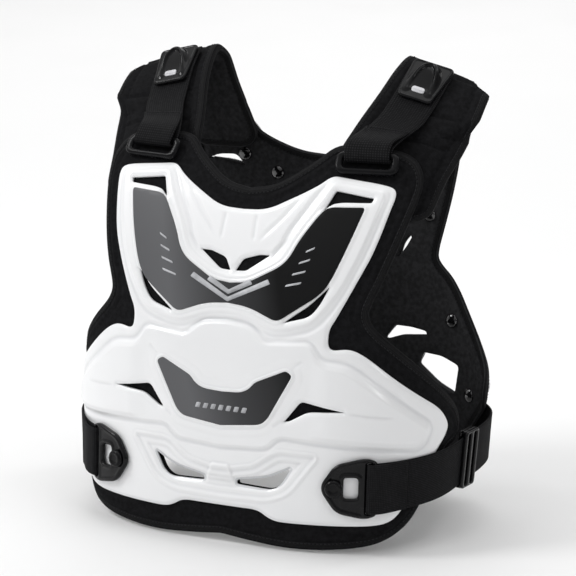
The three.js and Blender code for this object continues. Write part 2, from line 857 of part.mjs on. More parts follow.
// A strap as a bent sheet: along runs from its first point and across is measured sideways
class Ribbon {
  constructor(stations) {
    this.stations = stations;
    this.curve = new THREE.CatmullRomCurve3(stations.map((station) => station.point));
    this.curve.curveType = 'centripetal';
    this.curve.arcLengthDivisions = 600;
    this.length = this.curve.getLength();
  }

  at(across, along, lift) {
    const u = Math.min(Math.max(along / this.length, 0), 1);
    const t = this.curve.getUtoTmapping(u) * (this.stations.length - 1);
    const i = Math.min(Math.floor(t), this.stations.length - 2);
    const sideways = this.stations[i].sideways.clone();
    sideways.lerp(this.stations[i + 1].sideways, t - i).normalize();
    const tangent = this.curve.getTangentAt(u);
    const normal = sideways.clone().cross(tangent).normalize();
    const point = this.curve.getPointAt(u);
    point.addScaledVector(tangent, along - u * this.length);
    point.addScaledVector(sideways, across);
    return point.addScaledVector(normal, lift);
  }
}

// The sewn loop at a strap's end, round a bar of the given length and thickness
function strapLoop(barAlong, barLength, barThickness, width, wall) {
  const clear = seatGap;
  const low = barAlong - barLength / 2 - clear;
  const high = barAlong + barLength / 2 + clear;
  const inner = wall + barThickness + 2 * clear;
  const outer = inner + wall;
  const merge = high + 3.5 * (inner - wall);
  const rim = [
    [low - wall, 0],
    [merge + 2 * wall, 0],
    [merge + 2 * wall, 2 * wall],
    [merge, 2 * wall],
    [high + wall, outer],
    [low - wall / 3, outer],
    [low - wall, outer - wall / 2],
  ];
  const eye = [
    [low, wall],
    [low, inner],
    [high, inner],
    [merge - wall, wall],
  ];
  return profileBlock(rim, [eye], width);
}

function strapBody(start, end, width, wall, step) {
  const count = Math.max(1, Math.round((end - start) / step));
  const rows = Array.from({ length: count + 1 }, (_, i) => start + (i * (end - start)) / count);
  return slab([-width / 2, 0, width / 2], rows, 0, wall);
}

// Shoulder pads
function padOutline(length) {
  const count = Math.round(length / padRow);
  const rows = Array.from({ length: count + 1 }, (_, i) => (i * length) / count);
  const inset = (along) => {
    const fromEnd = Math.max(0, Math.min(along, length - along));
    if (fromEnd >= padCornerRadius) {
      return 0;
    }
    const rise = padCornerRadius - fromEnd;
    return padCornerRadius - Math.sqrt(padCornerRadius ** 2 - rise ** 2);
  };
  return { rows, inset };
}

function makePad() {
  const { rows, inset } = padOutline(padPath.length);
  const kept = rows.filter((along, i) => i % 2 === 0 || Math.min(i, rows.length - 1 - i) < 3);
  const half = padThickness / 2;
  const box = slab(padAcross, kept, -half, half);
  const place = (share, along, lift) => {
    const width = padPath.halfWidth(along) - inset(along);
    const thin = Math.abs(share) === 1 ? padEdgeShare : 1;
    return padPath.at(share * width, along, lift * thin);
  };
  return bentGeometry(box, place, false);
}

addMesh('front_shell', makeFrontShell(), whitePlastic);
addMesh('upper_decal', makeDecal(upperDecalEdge), greyDecal);
addMesh('lower_decal', makeDecal(lowerDecalEdge), greyDecal);
addMesh('front_liner', makeFrontLiner(), blackFoam);

const backLinerOutline = wholeOutline(onBackLiner(backLinerEdge));
const backShellOutline = wholeOutline(
  flatPoints(backShellEdge, backShellHalfWidth, backShellHeight, backShellTopDrop),
);
const backShellTop = shellGap + backShellWall;
addMesh('back_liner', makeBackSheet(backLinerOutline, backVents, -backLinerWall, 0), blackFoam);
addMesh('back_shell', makeBackSheet(backShellOutline, [], shellGap, backShellTop), whitePlastic);

rivetPlaces.forEach(({ name, across, up }) => {
  const x = across * backLinerHalfWidth;
  const y = (up - 1) * backLinerHeight - backLinerTopDrop;
  const seat = -backLinerWall - rivetSeat;
  const place = (dx, dy, dz) => back.at(x + dx, y + dy, seat - dz);
  const rivet = makeRivet();
  rivet.rotateX(Math.PI / 2);
  rivet.applyMatrix4(frameAt(place, 2));
  addPair(`back_rivet_${name}`, rivet, blackPlastic);
});

addPair('shoulder_pad', makePad(), blackFoam);

// Rings on the liner's shoulder ends. The top bar stands clear of the liner for the webbing.
const ringPlace = (x, y, z) => {
  const slope = frontRise(ringOut, -ringDrop);
  return front.at(ringOut + x, -ringDrop + y * slope, z);
};
const ringFrame = frameAt(ringPlace, 2);
const ringTop = seatGap + webbingWall + 2 * flatGap + ringWall;
const slotLow = -ringHeight / 2 + ringBar;
const slotHigh = ringHeight / 2 - ringBar;

function makeRing() {
  const half = ringWidth / 2;
  const slotHalf = webbingWidth / 2 + ringSlack;
  const plate = prism(
    rectangle(-half, half, -ringHeight / 2, ringHeight / 2, ringRound),
    seatGap,
    ringTop,
  );
  const slot = prism(rectangle(-slotHalf, slotHalf, slotLow, slotHigh, 2), 0, ringTop + 1);
  const channel = prism(
    rectangle(-slotHalf, slotHalf, slotLow, ringHeight, 0),
    0,
    ringTop - ringWall,
  );
  return flatGeometry(plate.subtract(slot).subtract(channel)).applyMatrix4(ringFrame);
}

addPair('strap_ring', makeRing(), blackPlastic);

// Shoulder webbing, from its loop round the ring's top bar to under the adjuster
function frameStation(frame, along, lift) {
  const point = new THREE.Vector3(0, along, lift).applyMatrix4(frame);
  const sideways = new THREE.Vector3().setFromMatrixColumn(frame, 0);
  return { point, sideways };
}

function padStation(along, lift) {
  const point = padPath.at(webbingShift, along, padThickness / 2 + lift);
  const left = padPath.at(webbingShift - 2, along, padThickness / 2 + lift);
  const right = padPath.at(webbingShift + 2, along, padThickness / 2 + lift);
  return { point, sideways: right.sub(left).normalize() };
}

const adjusterAlong = padPath.length * adjusterPlace;
const webbingRibbon = new Ribbon([
  frameStation(ringFrame, -ringHeight, seatGap),
  frameStation(ringFrame, 0, seatGap),
  frameStation(ringFrame, ringHeight * 0.75, seatGap),
  frameStation(ringFrame, ringHeight * 1.3, seatGap + webbingLiftOff),
  padStation(adjusterAlong - adjusterLength * 0.95, webbingRideHeight),
  padStation(adjusterAlong - adjusterLength * 0.6, flatGap + 0.4),
  padStation(adjusterAlong - adjusterLength * 0.25, flatGap),
  padStation(adjusterAlong, flatGap),
  padStation(adjusterAlong + adjusterLength * 0.25, flatGap),
  padStation(adjusterAlong + adjusterLength * 0.44, flatGap),
]);

function makeWebbing() {
  const bar = ringHeight + ringHeight / 2 - ringBar / 2;
  const loop = strapLoop(bar, ringBar, ringWall, webbingWidth, webbingWall);
  const start = bar + ringBar;
  const body = strapBody(start, webbingRibbon.length, webbingWidth, webbingWall, strapStep);
  return bentGeometry(loop.add(body), (x, y, z) => webbingRibbon.at(x, y, z), false);
}

addPair('shoulder_strap', makeWebbing(), blackWebbing);

// Adjusters: a tapered plate on the webbing with a domed ridge, and a blank badge on its slope
const adjusterPlaceAt = (x, y, z) => padPath.at(
  webbingShift + x,
  adjusterAlong + y,
  padThickness / 2 + flatGap + webbingWall + flatGap + z,
);
const adjusterFrame = frameAt(adjusterPlaceAt, 8);
const slopeLow = -adjusterLength * 0.4;
const slopeHigh = -adjusterLength * 0.06;
const adjusterTop = adjusterBase + adjusterDome;

function makeAdjuster() {
  const half = adjusterLength / 2;
  const profile = [
    [-half, 0],
    [half, 0],
    [half, adjusterBase * 0.7],
    [half * 0.75, adjusterBase],
    [half * 0.62, adjusterTop * 0.8],
    [half * 0.42, adjusterTop],
    [slopeHigh, adjusterTop],
    [slopeLow, adjusterBase * 1.25],
    [-half * 0.8, adjusterBase],
    [-half, adjusterBase * 0.6],
  ];
  const outline = prism([
    { x: -adjusterLowWidth / 2, y: -half, round: 6 },
    { x: adjusterLowWidth / 2, y: -half, round: 6 },
    { x: adjusterHighWidth / 2, y: half, round: 7 },
    { x: -adjusterHighWidth / 2, y: half, round: 7 },
  ], -1, adjusterTop + 1);
  const block = profileBlock(profile, [], adjusterHighWidth * 1.1).intersect(outline);
  return flatGeometry(block).applyMatrix4(adjusterFrame);
}

function makeBadge() {
  const round = badgeWidth * 0.45;
  const half = badgeLength / 2;
  const plate = prism(
    rectangle(-half, half, -badgeWidth / 2, badgeWidth / 2, round),
    flatGap,
    flatGap + badgeWall,
  );
  const angle = Math.atan2(adjusterTop - adjusterBase * 1.25, slopeHigh - slopeLow);
  const geometry = flatGeometry(plate);
  geometry.rotateX(angle);
  geometry.translate(0, (slopeLow + slopeHigh) / 2, (adjusterTop + adjusterBase * 1.25) / 2);
  return geometry.applyMatrix4(adjusterFrame);
}

addPair('shoulder_adjuster', makeAdjuster(), blackPlastic);
addPair('adjuster_badge', makeBadge(), whiteBadge);

// Hook plates on the shell, each held by a stud
const hookBottom = shellTop + seatGap;
const hookThickness = strapWall + seatGap + hookWall;
const hookTop = hookBottom + hookThickness;
const slotAcross = hookOuter - hookBar - hookSlot;

function makeHook() {
  const span = hookOuter - hookApex;
  const outline = hookEdge.map((row) => ({
    x: hookApex + row.across * span,
    y: -hookDrop + (row.up - 0.5) * hookHeight,
    round: row.round,
  }));
  const plate = sheetLayer(frontColumns, outline, hookBottom, hookTop);
  const slotHalf = strapWidth / 2 + 1;
  const slot = prism(
    rectangle(slotAcross, slotAcross + hookSlot, -hookDrop - slotHalf, -hookDrop + slotHalf, 1),
    shellBottom,
    hookTop + 1,
  );
  const channel = prism(
    rectangle(slotAcross, hookOuter + 2, -hookDrop - slotHalf, -hookDrop + slotHalf, 0),
    shellBottom,
    hookTop - hookWall,
  );
  const hole = prism(rectangle(
    studOut - studBore / 2,
    studOut + studBore / 2,
    -studDrop - studBore / 2,
    -studDrop + studBore / 2,
    studBore / 2,
  ), shellBottom, hookTop + 1);
  const solid = plate.subtract(slot).subtract(channel).subtract(hole);
  return bentGeometry(solid, (x, y, z) => front.at(x, y, z), false);
}

const studFrame = frameAt((x, y, z) => front.at(studOut + x, -studDrop + y, hookBottom + z), 4);

function makeStud() {
  const shaft = studBore * 0.32;
  const radius = studDiameter / 2;
  const seat = hookThickness + 2 * flatGap;
  const points = [
    new THREE.Vector2(0, 0),
    new THREE.Vector2(shaft, 0),
    new THREE.Vector2(shaft, seat),
    new THREE.Vector2(radius, seat),
    new THREE.Vector2(radius, seat + studHeight * 0.6),
    new THREE.Vector2(radius * 0.8, seat + studHeight),
    new THREE.Vector2(radius * 0.4, seat + studHeight),
    new THREE.Vector2(0, seat + studHeight * 0.7),
  ];
  const stud = new THREE.LatheGeometry(points, 12);
  stud.rotateX(Math.PI / 2);
  return stud.applyMatrix4(studFrame);
}

addPair('hook_plate', makeHook(), blackPlastic);
addPair('hook_stud', makeStud(), blackPlastic);

// Side straps, from the hook plate round the side to the outside of the back shell
function strapStation(side, arc, drop, lift) {
  const point = side.at(arc, -drop, lift);
  const upper = side.at(arc, -drop + 4, lift);
  const lower = side.at(arc, -drop - 4, lift);
  return { point, sideways: lower.sub(upper).normalize() };
}

function sideStations() {
  const stations = [];
  const steps = 14;
  const frontStart = hookOuter - strapLead;
  const frontEnd = front.section(-strapSideDrop).at(-1).length - strapTurn;
  const backEnd = back.section(-strapBackDrop).at(-1).length - strapTurn;
  for (let i = 0; i <= steps; i += 1) {
    const arc = frontStart + ((frontEnd - frontStart) * i) / steps;
    const share = Math.max(0, (arc - hookOuter) / (frontEnd - hookOuter));
    const drop = strapFrontDrop + share * (strapSideDrop - strapFrontDrop);
    stations.push(strapStation(front, arc, drop, hookBottom));
  }
  for (let i = 0; i <= steps; i += 1) {
    const arc = backEnd + ((strapBackEnd - backEnd) * i) / steps;
    const drop = strapSideDrop + (0.3 + 0.7 * (i / steps)) * (strapBackDrop - strapSideDrop);
    stations.push(strapStation(back, arc, drop, backShellTop + shellGap));
  }
  return stations;
}

const sideRibbon = new Ribbon(sideStations());

function makeSideStrap() {
  const bar = strapLead - hookBar / 2;
  const loop = strapLoop(bar, hookBar, hookWall, strapWidth, strapWall);
  const body = strapBody(bar + hookBar, sideRibbon.length, strapWidth, strapWall, strapStep);
  return bentGeometry(loop.add(body), (x, y, z) => sideRibbon.at(x, y, z), false);
}

addPair('side_strap', makeSideStrap(), blackWebbing);

// Sliders on the side straps: a frame with a middle bar that the strap passes under
const sliderAlong = sideRibbon.length * sliderAt;

function makeSlider() {
  const half = sliderHeight / 2;
  const body = prism(
    rectangle(-half, half, -sliderLength / 2, sliderLength / 2, 4),
    -sliderWall / 2 - sliderClearance,
    strapWall + sliderClearance + sliderWall,
  );
  const inside = strapWidth / 2 + sliderClearance * 2;
  const tunnel = prism(
    rectangle(-inside, inside, -sliderLength, sliderLength, 0),
    -sliderClearance,
    strapWall + sliderClearance,
  );
  const window = (low, high) => prism(
    rectangle(-inside, inside, low * sliderLength, high * sliderLength, 0),
    0,
    strapWall + sliderWall * 2,
  );
  const solid = body
    .subtract(tunnel)
    .subtract(window(-sliderRim, -sliderBar))
    .subtract(window(sliderBar, sliderRim));
  const place = (x, y, z) => sideRibbon.at(x, sliderAlong + y, z);
  return flatGeometry(solid).applyMatrix4(frameAt(place, 3));
}

addPair('strap_slider', makeSlider(), blackPlastic);

export default part;
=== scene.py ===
"""Looks of the roost deflector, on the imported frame. Millimetres until a mesh is made."""

import math

import bmesh
import bpy
import numpy as np
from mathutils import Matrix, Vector
from mathutils.geometry import delaunay_2d_cdt
from mathutils.kdtree import KDTree


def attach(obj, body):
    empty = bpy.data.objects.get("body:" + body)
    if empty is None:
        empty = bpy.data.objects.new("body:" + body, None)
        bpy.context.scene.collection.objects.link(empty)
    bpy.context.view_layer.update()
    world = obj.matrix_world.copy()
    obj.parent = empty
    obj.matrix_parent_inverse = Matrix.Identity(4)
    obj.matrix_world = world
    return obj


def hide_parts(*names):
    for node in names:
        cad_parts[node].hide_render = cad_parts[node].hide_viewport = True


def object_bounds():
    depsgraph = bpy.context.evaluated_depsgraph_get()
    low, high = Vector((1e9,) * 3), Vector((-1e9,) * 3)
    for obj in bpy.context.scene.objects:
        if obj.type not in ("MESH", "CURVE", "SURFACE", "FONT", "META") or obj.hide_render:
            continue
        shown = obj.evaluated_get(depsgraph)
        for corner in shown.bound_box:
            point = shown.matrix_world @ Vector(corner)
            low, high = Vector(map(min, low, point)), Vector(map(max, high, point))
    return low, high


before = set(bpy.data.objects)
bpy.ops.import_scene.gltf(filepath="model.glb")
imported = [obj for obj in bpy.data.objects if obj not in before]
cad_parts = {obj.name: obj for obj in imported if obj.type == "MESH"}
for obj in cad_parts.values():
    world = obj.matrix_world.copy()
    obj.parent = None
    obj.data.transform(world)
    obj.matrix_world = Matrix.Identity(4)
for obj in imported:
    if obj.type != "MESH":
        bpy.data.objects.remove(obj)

MM = 0.001
cad_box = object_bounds()
scene = bpy.context.scene

# Camera, at the photograph's viewing angle
camera_aim = Vector((45.07, -145.0, -205.0)) * MM
camera_azimuth = math.radians(25.2)
camera_elevation = math.radians(13.05)
camera_distance = 2.5
camera_lens = 156.25
camera_sensor = 36

# Sizes shared with the part's source
seat_gap = 0.5
shell_gap = 0.8
flat_gap = 0.3
shell_wall = 2.8
plateau_rise = 1.4
liner_wall = 8.0
back_liner_wall = 8.0
back_shell_wall = 2.6
pad_thickness = 12.0
pad_half_width = 54.5
pad_out = 155.0
pad_forward = 130.0
pad_behind = 33.0
pad_drop = 130.0
pad_corner = 18.0
pad_seat = 2.2
pad_wrap = 178.0
webbing_width = 46.0
webbing_wall = 2.6
webbing_shift = -14.0
webbing_ride = 3.0
ring_width = 65.0
ring_height = 24.0
ring_wall = 5.0
ring_bar = 6.0
ring_slack = 1.5
ring_drop = 80.0
ring_out = 119.0
adjuster_length = 52.0
adjuster_low_width = 38.0
adjuster_high_width = 46.0
adjuster_base = 4.0
adjuster_place = 0.52
badge_length = 14.0
badge_width = 6.4
strap_width = 50.0
strap_wall = 2.2
strap_front_drop = 389.0
strap_side_drop = 381.0
strap_back_drop = 372.0
strap_back_end = 150.0
strap_lead = 20.0
strap_turn = 6.0
hook_wall = 4.0
hook_apex = 105.0
hook_outer = 161.0
hook_height = 62.0
hook_drop = 389.0
hook_slot = 7.0
hook_bar = 5.5
stud_out = 120.0
slider_length = 30.0
slider_height = 60.0
slider_wall = 4.0
slider_clearance = 1.1
slider_bar = 0.09
slider_rim = 0.34

shell_top = shell_gap + shell_wall
pad_face = pad_thickness / 2


def columns(names, rows):
    """A table as a named array for each column."""
    return {name: np.array(values, float) for name, values in zip(names.split(), zip(*rows))}


def placer(half_width, height, top_drop):
    """Turns rows of (share of half width, share of height, radius) into flat millimetres."""
    return lambda rows: [(a * half_width, (u - 1) * height - top_drop, r) for a, u, r in rows]


on_shell = placer(243, 338, 91)
on_liner = placer(275, 395, 61)
on_back = placer(232, 390, 51)
on_back_shell = placer(215, 362, 65)

# Torso forms, by share of the way down, and the pads' way over the shoulders
front_form = columns("down forward square width", [
    (0, 0.476, 3.6, 1), (0.09, 0.613, 3.6, 1), (0.17, 0.712, 3.6, 1), (0.31, 0.826, 3.4, 1),
    (0.48, 0.913, 2.8, 1), (0.66, 0.949, 2.6, 0.995), (0.85, 0.981, 2.6, 0.97), (1, 1, 2.6, 0.94),
])
back_form = columns("down forward square width", [
    (0, 0.746, 3.2, 0.98), (0.13, 0.92, 3.2, 1), (0.28, 1, 3.2, 1), (0.46, 1, 3.2, 1),
    (0.64, 0.92, 3.2, 1), (0.8, 0.873, 3.2, 0.98), (1, 0.905, 3.2, 0.95),
])
pad_form = columns("out ahead behind up half tilt yaw", [
    (0.85, 1, 0, -1, 1.02, 0, 0.2), (0.87, 0.76, 0, -0.68, 1.08, -0.06, 0.15),
    (0.92, 0.52, 0, -0.455, 1.06, -0.13, 0.08), (0.975, 0.29, 0, -0.24, 1, -0.2, 0.02),
    (0.995, 0.11, 0, -0.1, 0.95, -0.26, -0.02), (1, 0, 0.15, -0.035, 0.91, -0.3, -0.08),
    (0.97, 0, 0.62, -0.1, 0.88, -0.28, -0.12), (0.9, 0, 0.86, -0.28, 0.83, -0.18, -0.13),
    (0.81, 0, 0.95, -0.46, 0.77, -0.08, -0.13), (0.755, 0, 0.98, -0.62, 0.73, 0, -0.13),
    (0.735, 0, 1, -0.77, 0.7, 0, -0.13),
])

# Outlines, half of a piece each: (share of half width, share of height, corner radius)
shell_edge = [
    (0, 0.893, 0), (0.107, 0.896, 14), (0.296, 0.964, 30), (0.358, 1, 7), (0.601, 0.982, 22),
    (0.642, 0.964, 9), (0.597, 0.811, 40), (0.551, 0.734, 30), (0.473, 0.615, 20),
    (0.444, 0.58, 10), (0.444, 0.535, 6), (0.461, 0.52, 6), (0.535, 0.528, 14),
    (0.601, 0.506, 16), (0.774, 0.408, 40), (0.942, 0.331, 14), (1, 0.278, 10),
    (0.988, 0.249, 8), (0.918, 0.195, 24), (0.79, 0.059, 16), (0.741, 0.015, 12),
    (0.679, 0, 18), (0.259, 0, 10), (0.218, 0.009, 8), (0.173, 0.03, 10), (0, 0.03, 0),
]
liner_edge = [
    (0, 0.885, 0), (0.102, 0.896, 26), (0.222, 0.953, 26), (0.284, 0.992, 8), (0.335, 1, 10),
    (0.538, 0.99, 14), (0.611, 0.967, 18), (0.655, 0.919, 24), (0.64, 0.851, 40),
    (0.571, 0.691, 40), (0.527, 0.62, 14), (0.527, 0.595, 10), (0.556, 0.565, 16),
    (0.887, 0.382, 40), (0.964, 0.337, 16), (1, 0.296, 14), (0.996, 0.263, 8),
    (0.96, 0.243, 8), (0.891, 0.235, 10), (0.789, 0.127, 30), (0.727, 0.063, 16),
    (0.618, 0.018, 24), (0.465, 0.005, 30), (0.273, 0, 30), (0.109, 0.01, 30), (0, 0.018, 0),
]
back_liner_edge = [
    (0, 0.862, 0), (0.151, 0.867, 24), (0.332, 0.91, 24), (0.375, 0.946, 20), (0.401, 0.985, 10),
    (0.44, 1, 10), (0.647, 0.995, 12), (0.698, 0.972, 14), (0.69, 0.926, 30), (0.638, 0.8, 40),
    (0.547, 0.615, 16), (0.56, 0.59, 14), (0.647, 0.549, 30), (0.759, 0.446, 40),
    (0.875, 0.364, 30), (0.983, 0.318, 12), (1, 0.287, 10), (0.974, 0.251, 12),
    (0.81, 0.174, 20), (0.711, 0.054, 20), (0.603, 0.01, 20), (0, 0, 0),
]
back_shell_edge = [
    (0, 0.851, 0), (0.186, 0.862, 24), (0.326, 0.9, 24), (0.391, 0.967, 14), (0.447, 1, 10),
    (0.688, 0.994, 12), (0.679, 0.959, 16), (0.623, 0.823, 40), (0.526, 0.619, 14),
    (0.549, 0.575, 14), (0.642, 0.519, 30), (0.758, 0.414, 30), (0.884, 0.326, 20),
    (0.986, 0.287, 8), (1, 0.271, 6), (0.967, 0.249, 8), (0.819, 0.171, 16),
    (0.707, 0.047, 18), (0.614, 0.011, 16), (0, 0, 0),
]
upper_decal_edge = [
    (0, 0.686, 0), (0.082, 0.692, 8), (0.214, 0.743, 10), (0.251, 0.772, 8), (0.28, 0.82, 14),
    (0.358, 0.905, 14), (0.391, 0.914, 4), (0.529, 0.918, 3), (0.49, 0.82, 30),
    (0.44, 0.722, 14), (0.403, 0.678, 12), (0.239, 0.596, 5), (0.214, 0.593, 5),
    (0.099, 0.624, 12), (0, 0.63, 0),
]
lower_decal_edge = [
    (0, 0.373, 0), (0.082, 0.376, 4), (0.119, 0.387, 5), (0.148, 0.411, 4), (0.28, 0.454, 3),
    (0.307, 0.441, 3), (0.206, 0.305, 5), (0.177, 0.287, 6), (0, 0.272, 0),
]
yoke_edge = [
    (0, 0.71, 0), (0.07, 0.714, 8), (0.187, 0.757, 10), (0.222, 0.786, 8), (0.25, 0.835, 14),
    (0.33, 0.925, 14), (0.372, 0.98, 5), (0.6, 0.962, 8), (0.548, 0.81, 30),
    (0.492, 0.712, 14), (0.445, 0.655, 14), (0.372, 0.59, 12), (0.25, 0.567, 6),
    (0.205, 0.566, 6), (0.09, 0.597, 12), (0, 0.603, 0),
]
belly_edge = [
    (0, 0.574, 0), (0.099, 0.571, 6), (0.181, 0.524, 6), (0.37, 0.535, 6), (0.42, 0.485, 8),
    (0.535, 0.476, 10), (0.893, 0.284, 10), (0.848, 0.225, 10), (0.255, 0.257, 8),
    (0.2, 0.219, 6), (0, 0.21, 0),
]
vent_field_edge = [
    (0, 0.142, 0), (0.053, 0.142, 4), (0.15, 0.157, 6), (0.25, 0.208, 8), (0.415, 0.205, 4),
    (0.3, 0.09, 10), (0.215, 0.066, 8), (0, 0.062, 0),
]
vent_post_edge = [(0, 0.158, 0), (0.04, 0.158, 2), (0.068, 0.105, 4), (0, 0.105, 0)]
shell_vents = [
    [(0.553, 0.945, 1), (0.391, 0.96, 2), (0.358, 0.905, 1), (0.392, 0.925, 2),
     (0.43, 0.93, 4), (0.548, 0.933, 1)],
    [(0.432, 0.7, 1), (0.401, 0.65, 6), (0.362, 0.612, 8), (0.254, 0.59, 1),
     (0.3, 0.6155, 6), (0.352, 0.642, 6)],
    [(0.156, 0.773, 1), (0.11, 0.772, 2), (0.04, 0.757, 4), (0.012, 0.722, 1), (0.058, 0.724, 3)],
    [(0.523, 0.342, 1), (0.345, 0.366, 4), (0.276, 0.302, 1), (0.297, 0.304, 2),
     (0.374, 0.336, 6)],
]
through_vent = [
    (0.31, 0.164, 1), (0.214, 0.13, 8), (0.074, 0.112, 2), (0.074, 0.099, 2),
    (0.235, 0.094, 8), (0.272, 0.114, 4),
]
back_vents = [
    [(0.608, 0.833, 1), (0.552, 0.845, 5), (0.47, 0.847, 5), (0.427, 0.815, 1),
     (0.461, 0.823, 3), (0.526, 0.829, 5)],
    [(0.409, 0.66, 1), (0.416, 0.653, 1), (0.392, 0.628, 4), (0.349, 0.595, 1), (0.371, 0.633, 4)],
    [(0.289, 0.362, 2), (0.341, 0.403, 3), (0.427, 0.403, 5), (0.504, 0.397, 1),
     (0.513, 0.387, 1), (0.375, 0.377, 4), (0.306, 0.362, 1)],
    [(0.47, 0.305, 2), (0.491, 0.338, 3), (0.595, 0.336, 5), (0.698, 0.318, 4),
     (0.681, 0.238, 5), (0.569, 0.262, 8)],
]
hook_edge = [
    (0, 0.5, 10), (0.27, 0.88, 8), (0.8, 1, 10), (1, 0.93, 4), (1, 0.05, 4), (0.8, 0, 8),
    (0.3, 0.1, 8),
]
rivet_places = {
    "a": (0.422, 0.851), "b": (0.259, 0.803), "c": (0.513, 0.723), "d": (0.651, 0.439),
    "e": (0.79, 0.249),
}


# ---- Helpers for arrays ----
def stack(*parts):
    return np.stack(np.broadcast_arrays(*parts), -1)


def floats(*values):
    return np.broadcast_arrays(*(np.asarray(value, float) for value in values))


def unit(vectors):
    return vectors / np.linalg.norm(vectors, axis=-1, keepdims=True)


def run_lengths(path):
    """Length from the start to each point of a path."""
    return np.concatenate([[0], np.cumsum(np.linalg.norm(np.diff(path, axis=0), axis=1))])


def looked_up(path, lengths, at):
    return np.stack([np.interp(at, lengths, path[:, k]) for k in range(path.shape[1])], -1)


def smooth(t):
    t = np.clip(t, 0, 1)
    return t * t * (3 - 2 * t)


def bump(t):
    return smooth(1 - np.abs(t))


def banded(distance, rows):
    """Lift along an edge: rows of (form, distance where it starts or peaks, width, rise)."""
    return sum(rise * form((distance - at) / width) for form, at, width, rise in rows)


def folded(points):
    """Flat points with the right half laid on the left."""
    return stack(np.abs(points[:, 0]), points[:, 1])


def table_value(form, key, name, at):
    """A smooth curve through a column of a form."""
    keys, values = form[key], form[name]
    last = len(keys) - 1
    place = np.clip(at, keys[0], keys[-1])
    i = np.clip(np.searchsorted(keys, place) - 1, 0, last - 1)
    low = np.maximum(np.arange(last + 1) - 1, 0)
    high = np.minimum(np.arange(last + 1) + 1, last)
    slope = (values[high] - values[low]) / (keys[high] - keys[low])
    step = keys[i + 1] - keys[i]
    t = (place - keys[i]) / step
    return (
        (2 * t**3 - 3 * t**2 + 1) * values[i]
        + (t**3 - 2 * t**2 + t) * step * slope[i]
        + (3 * t**2 - 2 * t**3) * values[i + 1]
        + (t**3 - t**2) * step * slope[i + 1]
    )


# ---- Surfaces ----
class TorsoSide:
    """A side of the torso as a bent sheet: across runs round the body, lift is off the face."""

    low, high = -500.0, 41.0  # heights that the tables cover
    widest, reach_on = 361.0, 200  # how far across they go, and how far on straight

    def __init__(self, form, half_width, depth, reach, top_drop, form_height, facing):
        self.facing = facing
        down = (-top_drop - np.arange(self.low, self.high)) / form_height
        width = half_width * table_value(form, "down", "width", down)
        square = table_value(form, "down", "square", down)
        middle = facing * reach * table_value(form, "down", "forward", down)
        angle = np.linspace(0, math.pi / 2, 481)
        arcs, spans = np.arange(0.0, self.widest), np.arange(0.0, 221.0)
        tables = []
        for w, n, m in zip(width, square, middle):
            x = w * np.sin(angle) ** (2 / n)
            y = m - facing * depth * (1 - np.clip(np.cos(angle), 0, 1) ** (2 / n))
            length = run_lengths(stack(x, y))
            end = length[-1]
            arc = np.interp(spans, x, length, right=999.0)
            x, y = np.append(x, x[-1]), np.append(y, y[-1] - facing * self.reach_on)
            length = np.append(length, end + self.reach_on)
            tables.append((np.interp(arcs, length, x), np.interp(arcs, length, y), arc, end))
        self.x, self.y, self.arc, self.ends = (np.array(column) for column in zip(*tables))

    def mixed(self, grid, row, column):
        row = np.clip(row - self.low, 0, grid.shape[0] - 1.001)
        column = np.clip(column, 0, grid.shape[1] - 1.001)
        i, j = row.astype(int), column.astype(int)
        a, b = row - i, column - j
        top = grid[i, j] * (1 - b) + grid[i, j + 1] * b
        bottom = grid[i + 1, j] * (1 - b) + grid[i + 1, j + 1] * b
        return top * (1 - a) + bottom * a

    def end(self, height):
        return float(np.interp(height - self.low, np.arange(len(self.ends)), self.ends))

    def face(self, across, height):
        reach = np.abs(across)
        x = np.sign(across) * self.mixed(self.x, height, reach)
        return np.stack([x, self.mixed(self.y, height, reach), height], -1)

    def at(self, across, height, lift):
        across, height, lift = floats(across, height, lift)
        sideways = self.face(across + 1, height) - self.face(across - 1, height)
        upward = self.face(across, height + 1) - self.face(across, height - 1)
        normal = unit(np.cross(sideways, upward))
        normal = normal * np.sign(normal[..., 1:2] * self.facing)
        return self.face(across, height) + normal * lift[..., None]

    def keep_inside(self, point, clearance, widest):
        arc = np.minimum(self.mixed(self.arc, point[..., 2], np.abs(point[..., 0])), widest)
        across = np.where(point[..., 0] < 0, -arc, arc)
        face = self.at(across, point[..., 2], 0)
        normal = self.at(across, point[..., 2], 1) - face
        lift = np.sum((point - face) * normal, -1)
        push = np.where(lift > -clearance, -clearance - lift, 0)
        return point + normal * push[..., None]


front = TorsoSide(front_form, 208, 130, 212, 55, 410, -1)
back = TorsoSide(back_form, 212, 95, 63, 50, 390, 1)


